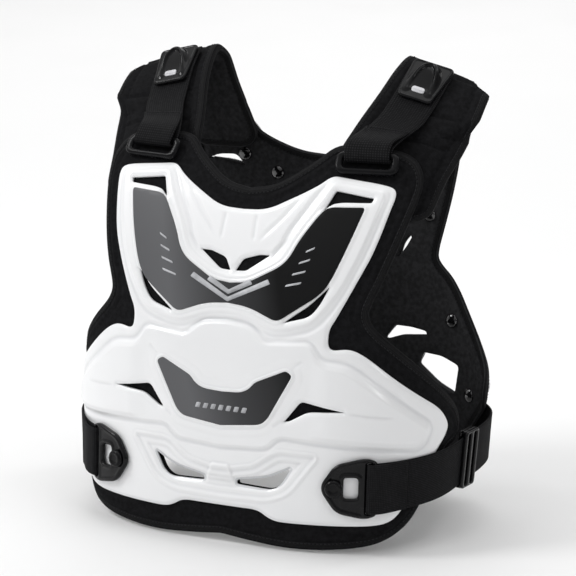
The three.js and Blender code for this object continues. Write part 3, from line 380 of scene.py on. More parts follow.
class Path:
    """A centripetal spline through points, looked up by length."""

    def __init__(self, points, samples=4000):
        points = np.array(points, float)
        self.last = len(points) - 1
        ends = np.vstack([2 * points[0] - points[1], points, 2 * points[-1] - points[-2]])
        self.stations = np.linspace(0, self.last, samples)
        i = np.minimum(self.stations.astype(int), self.last - 1)
        w = (self.stations - i)[:, None]
        p0, p1, p2, p3 = ends[i], ends[i + 1], ends[i + 2], ends[i + 3]
        d0, d1, d2 = (
            np.sum((b - a) ** 2, -1, keepdims=True) ** 0.25
            for a, b in ((p0, p1), (p1, p2), (p2, p3))
        )
        t1 = ((p1 - p0) / d0 - (p2 - p0) / (d0 + d1) + (p2 - p1) / d1) * d1
        t2 = ((p2 - p1) / d1 - (p3 - p1) / (d1 + d2) + (p3 - p2) / d2) * d1
        self.points = (
            p1 + t1 * w + (3 * (p2 - p1) - 2 * t1 - t2) * w**2 + (2 * (p1 - p2) + t1 + t2) * w**3
        )
        self.lengths = run_lengths(self.points)
        self.length = self.lengths[-1]
        self.tangents = unit(np.gradient(self.points, self.lengths, axis=0))

    def look(self, values, along):
        return looked_up(values, self.lengths, np.clip(along, 0, self.length))

    def point(self, along):
        past = along - np.clip(along, 0, self.length)
        return self.look(self.points, along) + self.tangent(along) * past[..., None]

    def tangent(self, along):
        return unit(self.look(self.tangents, along))


class PadPath:
    """The middle face of a shoulder pad, over the shoulder from front to back."""

    def __init__(self, form):
        self.path = Path(stack(
            form["out"] * pad_out, form["behind"] * pad_behind - form["ahead"] * pad_forward,
            form["up"] * pad_drop,
        ))
        self.length = self.path.length
        self.form = dict(form, place=np.arange(self.path.last + 1) / self.path.last)

    def value(self, name, along):
        station = self.path.look(self.path.stations[:, None], along)[..., 0]
        return table_value(self.form, "place", name, station / self.path.last)

    def half_width(self, along):
        return pad_half_width * self.value("half", along)

    def middle(self, across, along):
        sideways = stack(1.0, self.value("yaw", along), self.value("tilt", along))
        point = self.path.point(along) + unit(sideways) * across[..., None]
        point = front.keep_inside(point, liner_wall + pad_face + pad_seat, pad_wrap)
        return back.keep_inside(point, back_liner_wall + pad_face + pad_seat, pad_wrap)

    def at(self, across, along, lift):
        across, along, lift = floats(across, along, lift)
        sideways = self.middle(across + 2, along) - self.middle(across - 2, along)
        forward = self.middle(across, along + 2) - self.middle(across, along - 2)
        normal = unit(np.cross(sideways, forward))
        return self.middle(across, along) + normal * lift[..., None]


pad_path = PadPath(pad_form)


class Ribbon:
    """A flat strap's way through stations of (point, sideways)."""

    def __init__(self, stations):
        self.path = Path([point for point, _ in stations], 6000)
        self.length = self.path.length
        sides = np.array([side for _, side in stations])
        i = np.minimum(self.path.stations.astype(int), len(stations) - 2)
        t = (self.path.stations - i)[:, None]
        self.sides = unit(sides[i] * (1 - t) + sides[i + 1] * t)

    def at(self, across, along, lift):
        across, along, lift = floats(across, along, lift)
        sideways = unit(self.path.look(self.sides, along))
        normal = unit(np.cross(sideways, self.path.tangent(along)))
        return self.path.point(along) + sideways * across[..., None] + normal * lift[..., None]


# ---- Outlines ----
def mirrored(points):
    return [(-x, y, r) for x, y, r in points][::-1]


def whole(half):
    return half + mirrored(half[1:-1])


def even(points, spacing):
    closed = np.vstack([points, points[:1]])
    lengths = run_lengths(closed)
    count = max(8, int(round(lengths[-1] / spacing)))
    return looked_up(closed, lengths, np.linspace(0, lengths[-1], count, endpoint=False))


def rounded(points, spacing):
    """Dense outline with rounded corners, as an array."""
    made = []
    count = len(points)
    for i, (x, y, r) in enumerate(points):
        corner = np.array([x, y], float)
        if r <= 0:
            made.append(corner[None])
            continue
        into = corner - np.array(points[i - 1][:2], float)
        away = np.array(points[(i + 1) % count][:2], float) - corner
        start = corner - into * min(r / np.linalg.norm(into), 0.48)
        end = corner + away * min(r / np.linalg.norm(away), 0.48)
        steps = max(3, int(np.linalg.norm(end - start) / min(spacing, 1.2)) + 1)
        t = np.linspace(0, 1, steps)[:, None]
        made.append((1 - t) ** 2 * start + 2 * t * (1 - t) * corner + t**2 * end)
    dense = np.vstack(made)
    keep = np.linalg.norm(dense - np.roll(dense, 1, axis=0), axis=1) > 0.05
    return even(dense[keep], spacing)


def box_loop(left, right, low, high, corner, spacing):
    corners = (left, low), (right, low), (right, high), (left, high)
    return rounded([(x, y, corner) for x, y in corners], spacing)


def edge_distance(points, loops):
    """Distance from each point to the nearest side of the closed, evenly spaced loops."""
    corners = np.vstack(loops)
    tree = KDTree(len(corners))
    for i, (x, y) in enumerate(corners):
        tree.insert((x, y, 0), i)
    tree.balance()
    near = np.array([tree.find((x, y, 0))[1] for x, y in points.tolist()], int)
    best = np.full(len(points), np.inf)
    for turn in (-1, 1):
        others = np.vstack([np.roll(loop, turn, axis=0) for loop in loops])
        spans = others[near] - corners[near]
        away = points - corners[near]
        t = np.clip(np.sum(away * spans, -1) / np.maximum(np.sum(spans**2, -1), 1e-9), 0, 1)
        best = np.minimum(best, np.sum((away - t[:, None] * spans) ** 2, -1))
    return np.sqrt(best)


def line_distance(points, line):
    """Distance from each point to a line, and the share of the line where it is nearest."""
    line = np.array(line, float)
    spans = np.diff(line, axis=0)
    away = points[:, None] - line[:-1]
    t = np.clip(np.sum(away * spans, -1) / np.sum(spans**2, -1), 0, 1)
    gap = np.sqrt(np.sum((away - t[..., None] * spans) ** 2, -1))
    lengths = run_lengths(line)
    near, pick = np.argmin(gap, 1), np.arange(len(points))
    along = lengths[near] + t[pick, near] * np.diff(lengths)[near]
    return gap[pick, near], along / lengths[-1]


def inside(points, loops):
    """Whether each point is inside an odd number of loops."""
    starts = np.vstack(loops)
    ends = np.vstack([np.roll(loop, -1, axis=0) for loop in loops])
    rows, row_of = np.unique(points[:, 1], return_inverse=True)
    order = np.argsort(row_of, kind="stable")
    firsts = np.searchsorted(row_of[order], np.arange(len(rows) + 1))
    found = np.zeros(len(points), bool)
    for i, y in enumerate(rows):
        hit = (starts[:, 1] > y) != (ends[:, 1] > y)
        a, b = starts[hit], ends[hit]
        crossings = np.sort(a[:, 0] + (y - a[:, 1]) * (b[:, 0] - a[:, 0]) / (b[:, 1] - a[:, 1]))
        picks = order[firsts[i] : firsts[i + 1]]
        found[picks] = np.searchsorted(crossings, points[picks, 0]) % 2 == 1
    return found


def signed(points, loop, reach=14.0):
    """Distance to a loop, positive inside it and no less than -reach outside."""
    near = np.all((points > loop.min(0) - reach) & (points < loop.max(0) + reach), axis=1)
    made = np.full(len(points), -reach)
    gap = edge_distance(points[near], [loop])
    made[near] = np.where(inside(points[near], [loop]), gap, -gap)
    return made


def inward(loop):
    """Sideways of an outline: into it where it runs clockwise, out of it otherwise."""
    ahead = np.roll(loop, -1, axis=0) - np.roll(loop, 1, axis=0)
    return unit(stack(ahead[:, 1], -ahead[:, 0]))


def into(loop):
    direction = inward(loop)
    return direction if inside(loop + direction * 2, [loop]).mean() > 0.5 else -direction


def offset_loop(loop, gap):
    moved = loop + into(loop) * gap
    return moved[edge_distance(moved, [loop]) > gap * 0.95]


# ---- Meshes ----
def triangulate(loops, spacing, rings):
    """Triangles of a region: its loops, rings inside them and an even grid."""
    edges = []
    count = 0
    for loop in loops:
        edges += [(count + i, count + (i + 1) % len(loop)) for i in range(len(loop))]
        count += len(loop)
    low, high = loops[0].min(0), loops[0].max(0)
    rows = np.arange(low[1], high[1], spacing * 0.866)
    across = np.arange(low[0] - spacing, high[0] + spacing, spacing)
    grid = np.stack(np.meshgrid(across, rows), -1).astype(float)
    grid[1::2, :, 0] += spacing / 2
    grid = grid.reshape(-1, 2)
    grid = grid[inside(grid, loops)]
    clear = max(rings) + spacing * 0.55 if rings else spacing * 0.5
    extra = [grid[edge_distance(grid, loops) > clear]]
    for gap in rings:
        for loop in loops:
            for sign in (1, -1):
                ring = loop + sign * gap * inward(loop)
                ring = ring[inside(ring, loops)]
                if len(ring):
                    extra.append(ring[edge_distance(ring, loops) > gap * 0.93])
    points = np.vstack(loops + extra)
    result = delaunay_2d_cdt([Vector(p) for p in points], edges, [], 0, 1e-3, True)
    points, faces = np.array([tuple(p) for p in result[0]]), np.array(result[2])
    on_edge = np.array([min(sources, default=0) < count for sources in result[3]])
    unsure = np.all(on_edge[faces], axis=1)
    keep = ~unsure
    keep[unsure] = inside(points[faces[unsure]].mean(1), loops)
    return points, faces[keep]


def rim_drop(gap, radius):
    return radius - np.sqrt(np.maximum(radius**2 - (radius - np.minimum(gap, radius)) ** 2, 0))


def add_object(name, data):
    made = bpy.data.objects.new(name, data)
    scene.collection.objects.link(made)
    return made


def mesh_object(name, verts, faces, uv):
    mesh = bpy.data.meshes.new(name)
    mesh.from_pydata((verts * MM).tolist(), [], [list(map(int, face)) for face in faces])
    layer = mesh.uv_layers.new(name="flat")
    index = np.empty(len(mesh.loops), int)
    mesh.loops.foreach_get("vertex_index", index)
    layer.data.foreach_set("uv", (uv[index] * MM * 10).ravel())
    mesh.polygons.foreach_set("use_smooth", [True] * len(mesh.polygons))
    mesh.update()
    return add_object(name, mesh)


def level(lift, points, gap):
    """A lift given as a number, or as a function of the points and their distance to the edge."""
    return lift(points, gap) if callable(lift) else np.full(len(points), float(lift))


flat_points = {}


def sheet_mesh(name, loops, spacing, top, bottom, place, rim=1.0, low_rim=0.0, coarse=None):
    """A closed sheet between two lifts, with rounded rims."""
    rings = [rim * 0.13, rim * 0.45, rim] if rim > 0.3 else []
    points, faces = triangulate(loops, spacing, rings)
    low_points, low_faces = triangulate(loops, coarse, []) if coarse else (points, faces)
    gap = edge_distance(points, loops)
    lift = level(top, points, gap) - rim_drop(gap, rim)
    low_gap = edge_distance(low_points, loops)
    low_lift = level(bottom, low_points, low_gap) + rim_drop(low_gap, low_rim)
    upper = place(points[:, 0], points[:, 1], lift)
    lower = place(low_points[:, 0], low_points[:, 1], low_lift)
    a, b, c = upper[faces[0]]
    out = place(*(points[faces[0][0]]), lift[faces[0][0]] + 1) - a
    if np.dot(np.cross(b - a, c - a), out) < 0:
        faces, low_faces = faces[:, ::-1], low_faces[:, ::-1]
    count = len(points)
    sides = np.vstack([faces[:, [0, 1]], faces[:, [1, 2]], faces[:, [2, 0]]])
    seen = {tuple(edge) for edge in sides.tolist()}
    match = {tuple(p): i for i, p in enumerate(np.round(low_points, 2).tolist())}
    keys = np.round(points, 2).tolist()
    walls = []
    for i, j in seen:
        k, m = match.get(tuple(keys[i])), match.get(tuple(keys[j]))
        if (j, i) not in seen and k is not None and m is not None:
            walls.append((j, i, count + k, count + m))
    all_faces = faces.tolist() + (low_faces[:, ::-1] + count).tolist() + walls
    flat_points[name] = np.vstack([points, low_points])
    return mesh_object(name, np.vstack([upper, lower]), all_faces, flat_points[name])


def ring_mesh(name, sections, uv, closed=True):
    """A skin over rows of points, capped where the rows don't close."""
    rows, count = sections.shape[:2]
    faces = []
    for i in range(rows if closed else rows - 1):
        a, b = i * count, ((i + 1) % rows) * count
        faces += [(a + j, a + (j + 1) % count, b + (j + 1) % count, b + j) for j in range(count)]
    if not closed:
        faces.append(list(range(count))[::-1])
        faces.append([(rows - 1) * count + j for j in range(count)])
    return mesh_object(name, sections.reshape(-1, 3), faces, uv)


def join(name, pieces):
    """Several meshes as one."""
    made = bmesh.new()
    for piece in pieces:
        made.from_mesh(piece.data)
    mesh = bpy.data.meshes.new(name)
    made.to_mesh(mesh)
    made.free()
    for piece in pieces:
        old = piece.data
        bpy.data.objects.remove(piece)
        bpy.data.meshes.remove(old)
    return add_object(name, mesh)


def mirror_copy(piece, name):
    mesh = piece.data.copy()
    mesh.name = name
    coords = np.empty(len(mesh.vertices) * 3)
    mesh.vertices.foreach_get("co", coords)
    coords[0::3] *= -1
    mesh.vertices.foreach_set("co", coords)
    mesh.flip_normals()
    return add_object(name, mesh)


def dress(piece, material, slot, *nodes):
    piece.data.materials.clear()
    piece.data.materials.append(material)
    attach(piece, "root")
    if nodes:
        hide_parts(*nodes)
    return piece


def dress_pair(piece, material, slot, node=None):
    """The piece is the left one; its mirror image is made here."""
    other = mirror_copy(piece, piece.name[: -len("_left")] + "_right")
    return [
        dress(one, material, slot, *([node + side] if node else []))
        for one, side in ((piece, "_left"), (other, "_right"))
    ]


# ---- Materials ----
class Paint:
    """A node material in a few calls."""

    def __init__(self, name, color, **values):
        self.material = bpy.data.materials.new(name)
        self.material.use_nodes = True
        self.tree = self.material.node_tree
        self.shader = self.tree.nodes["Principled BSDF"]
        self.shader.inputs["Base Color"].default_value = (*color, 1)
        for socket, value in values.items():
            self.shader.inputs[socket.replace("_", " ")].default_value = value
        self.color = color
        self.normal = None
        self.coordinates = self.add("ShaderNodeTexCoord").outputs["Object"]

    def add(self, kind, **values):
        node = self.tree.nodes.new(kind)
        for name, value in values.items():
            setattr(node, name, value)
        return node

    def link(self, output, target):
        self.tree.links.new(output, target)

    def noise(self, scale, detail=3.0):
        node = self.add("ShaderNodeTexNoise")
        node.inputs["Scale"].default_value = scale
        node.inputs["Detail"].default_value = detail
        self.link(self.coordinates, node.inputs["Vector"])
        return node.outputs["Fac"]

    def cells(self, scale):
        node = self.add("ShaderNodeTexVoronoi")
        node.inputs["Scale"].default_value = scale
        self.link(self.coordinates, node.inputs["Vector"])
        return node.outputs["Distance"]

    def wave(self, scale, axis, distortion=0.4):
        node = self.add("ShaderNodeTexWave", bands_direction=axis)
        node.inputs["Scale"].default_value = scale
        node.inputs["Distortion"].default_value = distortion
        flat = self.add("ShaderNodeUVMap", uv_map="flat").outputs["UV"]
        self.link(flat, node.inputs["Vector"])
        return node.outputs["Fac"]

    def mapped(self, value, low, high, to_low=0, to_high=1):
        node = self.add("ShaderNodeMapRange")
        for name, number in (
            ("From Min", low), ("From Max", high), ("To Min", to_low), ("To Max", to_high)
        ):
            node.inputs[name].default_value = number
        self.link(value, node.inputs["Value"])
        return node.outputs["Result"]

    def math(self, operation, a, b):
        node = self.add("ShaderNodeMath", operation=operation)
        for k, value in enumerate((a, b)):
            if isinstance(value, (int, float)):
                node.inputs[k].default_value = value
            else:
                self.link(value, node.inputs[k])
        return node.outputs[0]

    def vary_color(self, value, other, low=0.35, high=0.65):
        mix = self.add("ShaderNodeMix", data_type="RGBA")
        mix.inputs["A"].default_value = (*self.color, 1)
        mix.inputs["B"].default_value = (*other, 1)
        self.link(self.mapped(value, low, high), mix.inputs["Factor"])
        self.link(mix.outputs["Result"], self.shader.inputs["Base Color"])

    def vary_roughness(self, value, low, high):
        self.link(self.mapped(value, 0.3, 0.7, low, high), self.shader.inputs["Roughness"])

    def raise_by(self, value, strength, depth):
        """A bump on top of those before; depth in mm."""
        node = self.add("ShaderNodeBump")
        node.inputs["Strength"].default_value = strength
        node.inputs["Distance"].default_value = depth * MM
        self.link(value, node.inputs["Height"])
        if self.normal:
            self.link(self.normal, node.inputs["Normal"])
        self.normal = node.outputs["Normal"]
        self.link(self.normal, self.shader.inputs["Normal"])


def white_plastic():
    """Glossy white, with painted shade that greys it a little in its creases."""
    paint = Paint("white_plastic", (0.86, 0.865, 0.875), Roughness=0.3, Coat_Weight=0.55,
                  Coat_Roughness=0.11, IOR=1.5)
    crease_shade = paint.add("ShaderNodeNewGeometry").outputs["Pointiness"]
    drift = paint.math("MULTIPLY", paint.noise(9, 2), 0.02)
    # painted shade: base colour mixes towards grey where Pointiness marks creases, plus a faint
    # random tone drift
    paint.vary_color(paint.math("SUBTRACT", drift, crease_shade), (0.66, 0.67, 0.69), -0.49, -0.43)
    paint.vary_roughness(paint.noise(25, 3), 0.28, 0.34)
    paint.raise_by(paint.noise(110, 1), 0.06, 0.06)
    return paint.material


def grey_decal():
    """Film that goes from grey on the wearer's right to black on the left."""
    paint = Paint("grey_decal", (0.11, 0.112, 0.12), Roughness=0.34, Specular_IOR_Level=0.1)
    split = paint.add("ShaderNodeSeparateXYZ")
    paint.link(paint.coordinates, split.inputs[0])
    ramp = paint.add("ShaderNodeValToRGB")
    stops = [(0.0, 0.1), (0.22, 0.125), (0.4, 0.055), (0.57, 0.028), (0.66, 0.007), (1.0, 0.008)]
    for i, (place, value) in enumerate(stops):
        stop = ramp.color_ramp.elements[i] if i < 2 else ramp.color_ramp.elements.new(place)
        stop.position = place
        stop.color = (value, value * 1.01, value * 1.06, 1)
    drift = paint.math("ADD", split.outputs["X"], paint.math("MULTIPLY", split.outputs["Z"], 0.3))
    paint.link(paint.mapped(drift, -0.19, 0.09), ramp.inputs["Fac"])
    paint.link(ramp.outputs["Color"], paint.shader.inputs["Base Color"])
    paint.vary_roughness(paint.noise(300, 3), 0.28, 0.4)
    paint.raise_by(paint.noise(1800, 2), 0.1, 0.03)
    return paint.material


def fabric(name, color, other, knit, depth):
    paint = Paint(name, color, Roughness=0.92, Specular_IOR_Level=0.07)
    paint.vary_color(paint.noise(220, 5), other)
    paint.raise_by(paint.cells(knit), 0.5, depth)
    paint.raise_by(paint.noise(90, 4), 0.35, 0.35)
    return paint.material


def tape(name, color, other, ribs):
    """Woven tape: ribs across it and a finer warp along it, in its own flat coordinates."""
    paint = Paint(name, color, Roughness=0.75, Specular_IOR_Level=0.1)
    weave = paint.math("MULTIPLY", paint.wave(ribs, "X"), paint.wave(ribs * 0.85, "Y"))
    worn = paint.math("ADD", weave, paint.mapped(paint.noise(300, 3), 0.3, 0.7, -0.2, 0.2))
    paint.vary_color(worn, other, 0.15, 0.9)
    paint.raise_by(weave, 0.7, 0.3)
    return paint.material


def hard_plastic(name, color, low, high, grain, gloss=0.2):
    paint = Paint(name, color, Roughness=low, Specular_IOR_Level=gloss)
    paint.vary_color(paint.noise(40, 4), tuple(c * 1.6 for c in color))
    paint.vary_roughness(paint.noise(120, 4), low, high)
    paint.raise_by(paint.noise(1500, 3), 0.3, grain)
    return paint.material


shell_material = white_plastic()
decal_material = grey_decal()
foam_material = fabric("black_foam", (0.0055, 0.0055, 0.006), (0.01, 0.01, 0.011), 900, 0.3)
lining_material = fabric("black_lining", (0.02, 0.02, 0.021), (0.034, 0.034, 0.036), 600, 0.4)
tape_material = tape("black_binding", (0.006, 0.006, 0.0065), (0.018, 0.018, 0.019), 30)
webbing_material = tape("black_webbing", (0.0025, 0.0025, 0.003), (0.019, 0.019, 0.0205), 14)
elastic_material = tape("black_elastic", (0.005, 0.005, 0.0055), (0.022, 0.022, 0.024), 20)
thread_material = tape("grey_thread", (0.02, 0.02, 0.022), (0.036, 0.036, 0.04), 200)
black = (0.004, 0.004, 0.0045)
plastic_material = hard_plastic("black_plastic", black, 0.17, 0.27, 0.03)
gloss_material = hard_plastic("black_gloss", black, 0.08, 0.13, 0.01, 0.15)
rivet_material = hard_plastic("black_rivet", black, 0.1, 0.14, 0.002, 1.0)
frame_material = hard_plastic("black_frame", black, 0.2, 0.3, 0.03, 0.1)
badge_material = hard_plastic("white_badge", (0.5, 0.5, 0.52), 0.25, 0.35, 0.02)
trim_material = hard_plastic("silver_print", (0.36, 0.365, 0.38), 0.3, 0.4, 0.02)


# ---- Front shell ----
def loops_of(outline, vents, spacing):
    """Loops of a mirrored outline and of mirrored vents, all in flat millimetres."""
    loops = [rounded(whole(outline), spacing)]
    for half in vents:
        loops += [rounded(half, spacing * 0.8), rounded(mirrored(half), spacing * 0.8)]
    return loops


# Fields of the shell: their outline and how finely it is followed
shell_fields = {
    "yoke": (yoke_edge, 2), "belly": (belly_edge, 2), "vents": (vent_field_edge, 2),
    "post": (vent_post_edge, 1.5), "upper": (upper_decal_edge, 1.5),
    "lower": (lower_decal_edge, 1.5),
}
# Relief along the fields' edges: (field, form, how far inside the edge, width, rise, fade)
shell_bands = [
    ("yoke", smooth, -0.9, 2.2, plateau_rise, 0),
    ("yoke", bump, -6.0, 5.0, -1.4, 6),
    ("belly", smooth, -1.0, 2.6, plateau_rise, 0),
    ("belly", bump, -3.4, 3.2, -1.0, 6),
    ("vents", smooth, -0.2, 2.2, -1.1, 0),
    ("vents", smooth, 6.5, 2.4, -1.1, 0),
    ("vents", bump, -2.2, 2.0, 0.7, 0),
    ("post", smooth, 0.0, 1.6, 1.1, 0),
    ("upper", bump, -1.5, 1.7, 1.0, 0),
    ("lower", bump, -1.5, 1.7, 1.1, 0),
    ("lower", smooth, -12.0, 3.5, 0.3, 0),
]
# Short creases: (points in flat mm, width, rise)
shell_creases = [
    ([(66, -107), (44, -134), (21, -158)], 4.0, -0.7),
    ([(17, -129), (18, -158)], 3.5, -0.6),
    ([(56, -151), (41, -166)], 3.0, -0.4),
    ([(73, -274), (86, -264)], 3.5, -0.6),
    ([(54, -334), (67, -326)], 3.5, -0.6),
    ([(127, -314), (150, -317), (178, -319)], 2.6, -0.8),
    ([(137, -268), (159, -281)], 5.0, -0.5),
]
wing_from, wing_spread, wing_rise, wing_bevel = 88, 24, 2.0, 6.5
shell_edge_fall, shell_edge_reach = 1.3, 4.5


def edge_fall(gap):
    return shell_edge_fall * (1 - smooth(gap / shell_edge_reach))


def shell_relief(points, gap):
    half = folded(points)
    field = {
        name: signed(half, rounded(whole(on_shell(edge)), spacing))
        for name, (edge, spacing) in shell_fields.items()
    }
    lift = np.full(len(points), shell_top)
    for name, form, at, width, rise, fade in shell_bands:
        band = rise * form((field[name] - at) / width)
        lift += band * smooth(gap / fade) if fade else band
    on_wing = smooth((half[:, 0] - wing_from) / wing_spread)
    lift += wing_rise * on_wing * smooth((field["belly"] - 0.5) / wing_bevel)
    for line, width, rise in shell_creases:
        away, along = line_distance(half, line)
        lift += rise * bump(away / width) * smooth(4 * along) * smooth(4 * (1 - along))
    return lift - edge_fall(gap)


shell_loops = loops_of(
    on_shell(shell_edge), [on_shell(rows) for rows in (*shell_vents, through_vent)], 1.6
)
shell = sheet_mesh(
    "front_shell_skin", shell_loops, 1.4, shell_relief, shell_gap, front.at, 1.2, coarse=9
)
dress(shell, shell_material, "white_plastic", "front_shell")

decal_low = shell_top + plateau_rise + 0.36
decal_top = decal_low + 0.6
for decal_name, edge in (("upper_decal", upper_decal_edge), ("lower_decal", lower_decal_edge)):
    film = sheet_mesh(
        decal_name + "_film", loops_of(on_shell(edge), [], 1.6), 3.0, decal_top, decal_low,
        front.at, 0.35,
    )
    dress(film, decal_material, "grey_decal", decal_name)

# Printed motifs: nested chevrons, slashes on the arms, a row of bars on the lower decal
chevrons = [(44, -215), (25, -208)]
chevron_bar = 4.4
chevron_slope = 0.46
prints = []
for span, foot in chevrons:
    end = foot + chevron_slope * span
    prints.append([
        (-span, end), (0, foot), (span, end), (span - 3, end + chevron_bar),
        (0, foot + chevron_bar), (-span + 3, end + chevron_bar),
    ])
for k in range(4):
    x, y, reach = 60 + 5.5 * k, -196 + 11 * k, 16 - 2.5 * k
    slash = [(x, y), (x + reach, y + 4), (x + reach + 1, y + 6.2), (x + 1, y + 2.2)]
    prints += [slash, [(-px, py) for px, py in slash][::-1]]
for k in range(-3, 4):
    x = 8.5 * k
    prints.append([(x - 3.4, -322), (x + 1.6, -322), (x + 3.4, -316.5), (x - 1.6, -316.5)])
print_pieces = [
    sheet_mesh(
        f"print_{k}", [rounded([(x, y, 0.5) for x, y in outline], 1.2)], 3.0,
        decal_top + 0.14, decal_top + 0.02, front.at, 0,
    )
    for k, outline in enumerate(prints)
]
dress(join("decal_prints", print_pieces), trim_material, "white_badge")


# ---- Soft panels ----
def binding(name, loop, place, top, bottom, width, cover=0.7, step=3.0):
    """Tape folded over an edge; top and bottom are lifts of the panel's faces at the edge."""
    loop = even(loop, step)
    direction = into(loop)
    middle = (top + bottom) / 2
    profile = [
        (width, top - 0.4), (width - 0.2, top + cover), (width * 0.6, top + cover * 1.15),
        (width * 0.25, top + cover * 0.8), (0.2, top * 0.55 + middle * 0.45),
        (-cover, middle), (0.2, bottom * 0.55 + middle * 0.45),
        (width * 0.25, bottom - cover * 0.8), (width * 0.6, bottom - cover * 1.15),
        (width - 0.2, bottom - cover), (width, bottom + 0.4), (width * 0.5, middle),
    ]
    length = np.cumsum(np.linalg.norm(loop - np.roll(loop, 1, axis=0), axis=1))
    flats = [loop + direction * gap for gap, _ in profile]
    rows = [place(flat[:, 0], flat[:, 1], lift) for flat, (_, lift) in zip(flats, profile)]
    uv = [stack(length, j * 1.6) for j in range(len(profile))]
    return ring_mesh(name, np.stack(rows, 1), np.stack(uv, 1).reshape(-1, 2))


thread_shares = np.array([0.0, 0.12, 0.5, 0.88, 1.0])
thread_sizes = np.array([0.25, 0.8, 1.0, 0.8, 0.25])
thread_heights = np.array([-0.35, 0.1, 0.3, 0.1, -0.35])
thread_sides = 6


def stitches(name, flat, place, lift, pitch=4.0, length=2.8, radius=0.5, closed=True):
    """Short rounded threads along a flat line."""
    path = np.vstack([flat, flat[:1]]) if closed else np.asarray(flat, float)
    lengths = run_lengths(path)
    starts = np.arange(0, lengths[-1] - pitch, pitch)
    centres = looked_up(path, lengths, starts[:, None] + thread_shares * length)
    ahead = centres[:, -1] - centres[:, 0]
    ahead = ahead / np.maximum(np.linalg.norm(ahead, axis=1, keepdims=True), 1e-6)
    side = stack(-ahead[:, 1], ahead[:, 0])[:, None, None]
    angles = np.arange(thread_sides) * 2 * math.pi / thread_sides
    around = radius * thread_sizes[:, None] * np.cos(angles)
    upward = radius * thread_sizes[:, None] * np.sin(angles) + thread_heights[:, None] * radius * 2
    spots = (centres[:, :, None] + side * around[..., None]).reshape(-1, 2)
    lifts = lift + np.tile(upward.ravel(), len(starts))
    n, last = thread_sides, (len(thread_shares) - 1) * thread_sides
    thread = [
        (a + j, a + (j + 1) % n, a + n + (j + 1) % n, a + n + j)
        for a in range(0, last, n) for j in range(n)
    ]
    thread += [list(range(n))[::-1], [last + j for j in range(n)]]
    faces = [
        [first + k for k in face]
        for first in range(0, len(spots), last + n) for face in thread
    ]
    return mesh_object(name, place(spots[:, 0], spots[:, 1], lifts), faces, spots)


def edge_trim(name, loop, place, top, bottom, width, inset, rows, put_on):
    """A bound edge, with a row of stitches for each (place, lift)."""
    put_on(
        binding(name.format("binding"), loop, place, top, bottom, width), tape_material,
        "black_foam",
    )
    line = offset_loop(loop, inset)
    threads = [stitches(f"thread_{k}", line, *row) for k, row in enumerate(rows)]
    put_on(join(name.format("stitches"), threads), thread_material, "black_webbing")


tape_width = 7.5
thread_inset = tape_width - 1.3
thread_sink = 0.75
# How far the padded faces sink to the bound edges, and over what width
front_sink, back_sink = (1.6, 12), (1.5, 11)
front_bite, back_bite = 1.5, 1.4
# Rolls and grooves beside an edge: (form, distance from it, width, rise)
front_rolls = [(bump, 11, 3.0, 0.7), (bump, 15.5, 2.8, -1.2)]
neck_groove = [(bump, 15.5, 2.8, -0.4)]
seat_roll = [(bump, 1, 2.6, 0.9)]
front_lining_roll = [(bump, 26, 2.4, 0.9)]
back_lining_roll = [(bump, 19, 2.6, -1.0)]
liner_loops = loops_of(on_liner(liner_edge), [on_shell(through_vent)], 2.5)
seat_half = 39
ring_seat = box_loop(
    ring_out - seat_half, ring_out + seat_half, -ring_drop - 19, -ring_drop + 18, 12, 2
)


def sunk(outer, depth, reach):
    """How far a padded face falls towards its bound edge."""
    return depth * (1 - smooth((outer - 3) / reach))


def liner_top(points, gap):
    outer = edge_distance(points, liner_loops[:1])
    neck = smooth((points[:, 1] + 150) / 40) * smooth((95 - np.abs(points[:, 0])) / 15)
    seat = banded(signed(folded(points), ring_seat), seat_roll) * smooth((outer - 8) / 3)
    rolls = banded(outer, front_rolls) + neck * banded(outer, neck_groove)
    return rolls + seat - sunk(outer, *front_sink)


def liner_bottom(points, gap):
    outer = edge_distance(points, liner_loops[:1])
    return -liner_wall + sunk(outer, *front_sink) + banded(outer, front_lining_roll)


liner = sheet_mesh(
    "front_liner_foam", liner_loops, 2.7, liner_top, liner_bottom, front.at, 1.4, 1.4
)
dress(liner, foam_material, "black_foam", "front_liner")
edge_trim("front_liner_{}", liner_loops[0], front.at, -front_bite, front_bite - liner_wall,
          tape_width, thread_inset, [(front.at, -thread_sink)], dress)

# ---- Back panel ----
back_loops = loops_of(on_back(back_liner_edge), [on_back(rows) for rows in back_vents], 2.5)
back_seams = [
    [(0, -210), (60, -205), (108, -214)], [(0, -262), (70, -256), (128, -262)],
    [(40, -150), (48, -380)], [(0, -340), (80, -338), (150, -352)],
]


def back_turned(across, height, lift):
    """The back panel with lift counted from its inner face, towards the wearer."""
    return back.at(across, height, -back_liner_wall - lift)


def back_inner(points, gap):
    outer = edge_distance(points, back_loops[:1])
    lift = banded(outer, back_lining_roll) - sunk(outer, *back_sink)
    for line in back_seams:
        away, along = line_distance(folded(points), line)
        lift -= 0.9 * bump(away / 2.4) * smooth(6 * (1 - along))
    return lift - 1.2 * (1 - smooth(edge_distance(points, back_loops[1:]) / 5))


def back_outer(points, gap):
    outer = edge_distance(points, back_loops[:1])
    return -back_liner_wall + sunk(outer, *back_sink)


back_liner = sheet_mesh(
    "back_liner_foam", back_loops, 2.5, back_inner, back_outer, back_turned, 1.4, 1.4
)
dress(back_liner, lining_material, "black_foam", "back_liner")
edge_trim("back_liner_{}", back_loops[0], back.at, -back_bite, back_bite - back_liner_wall,
          tape_width, thread_inset, [(back_turned, -0.65), (back.at, -thread_sink)], dress)

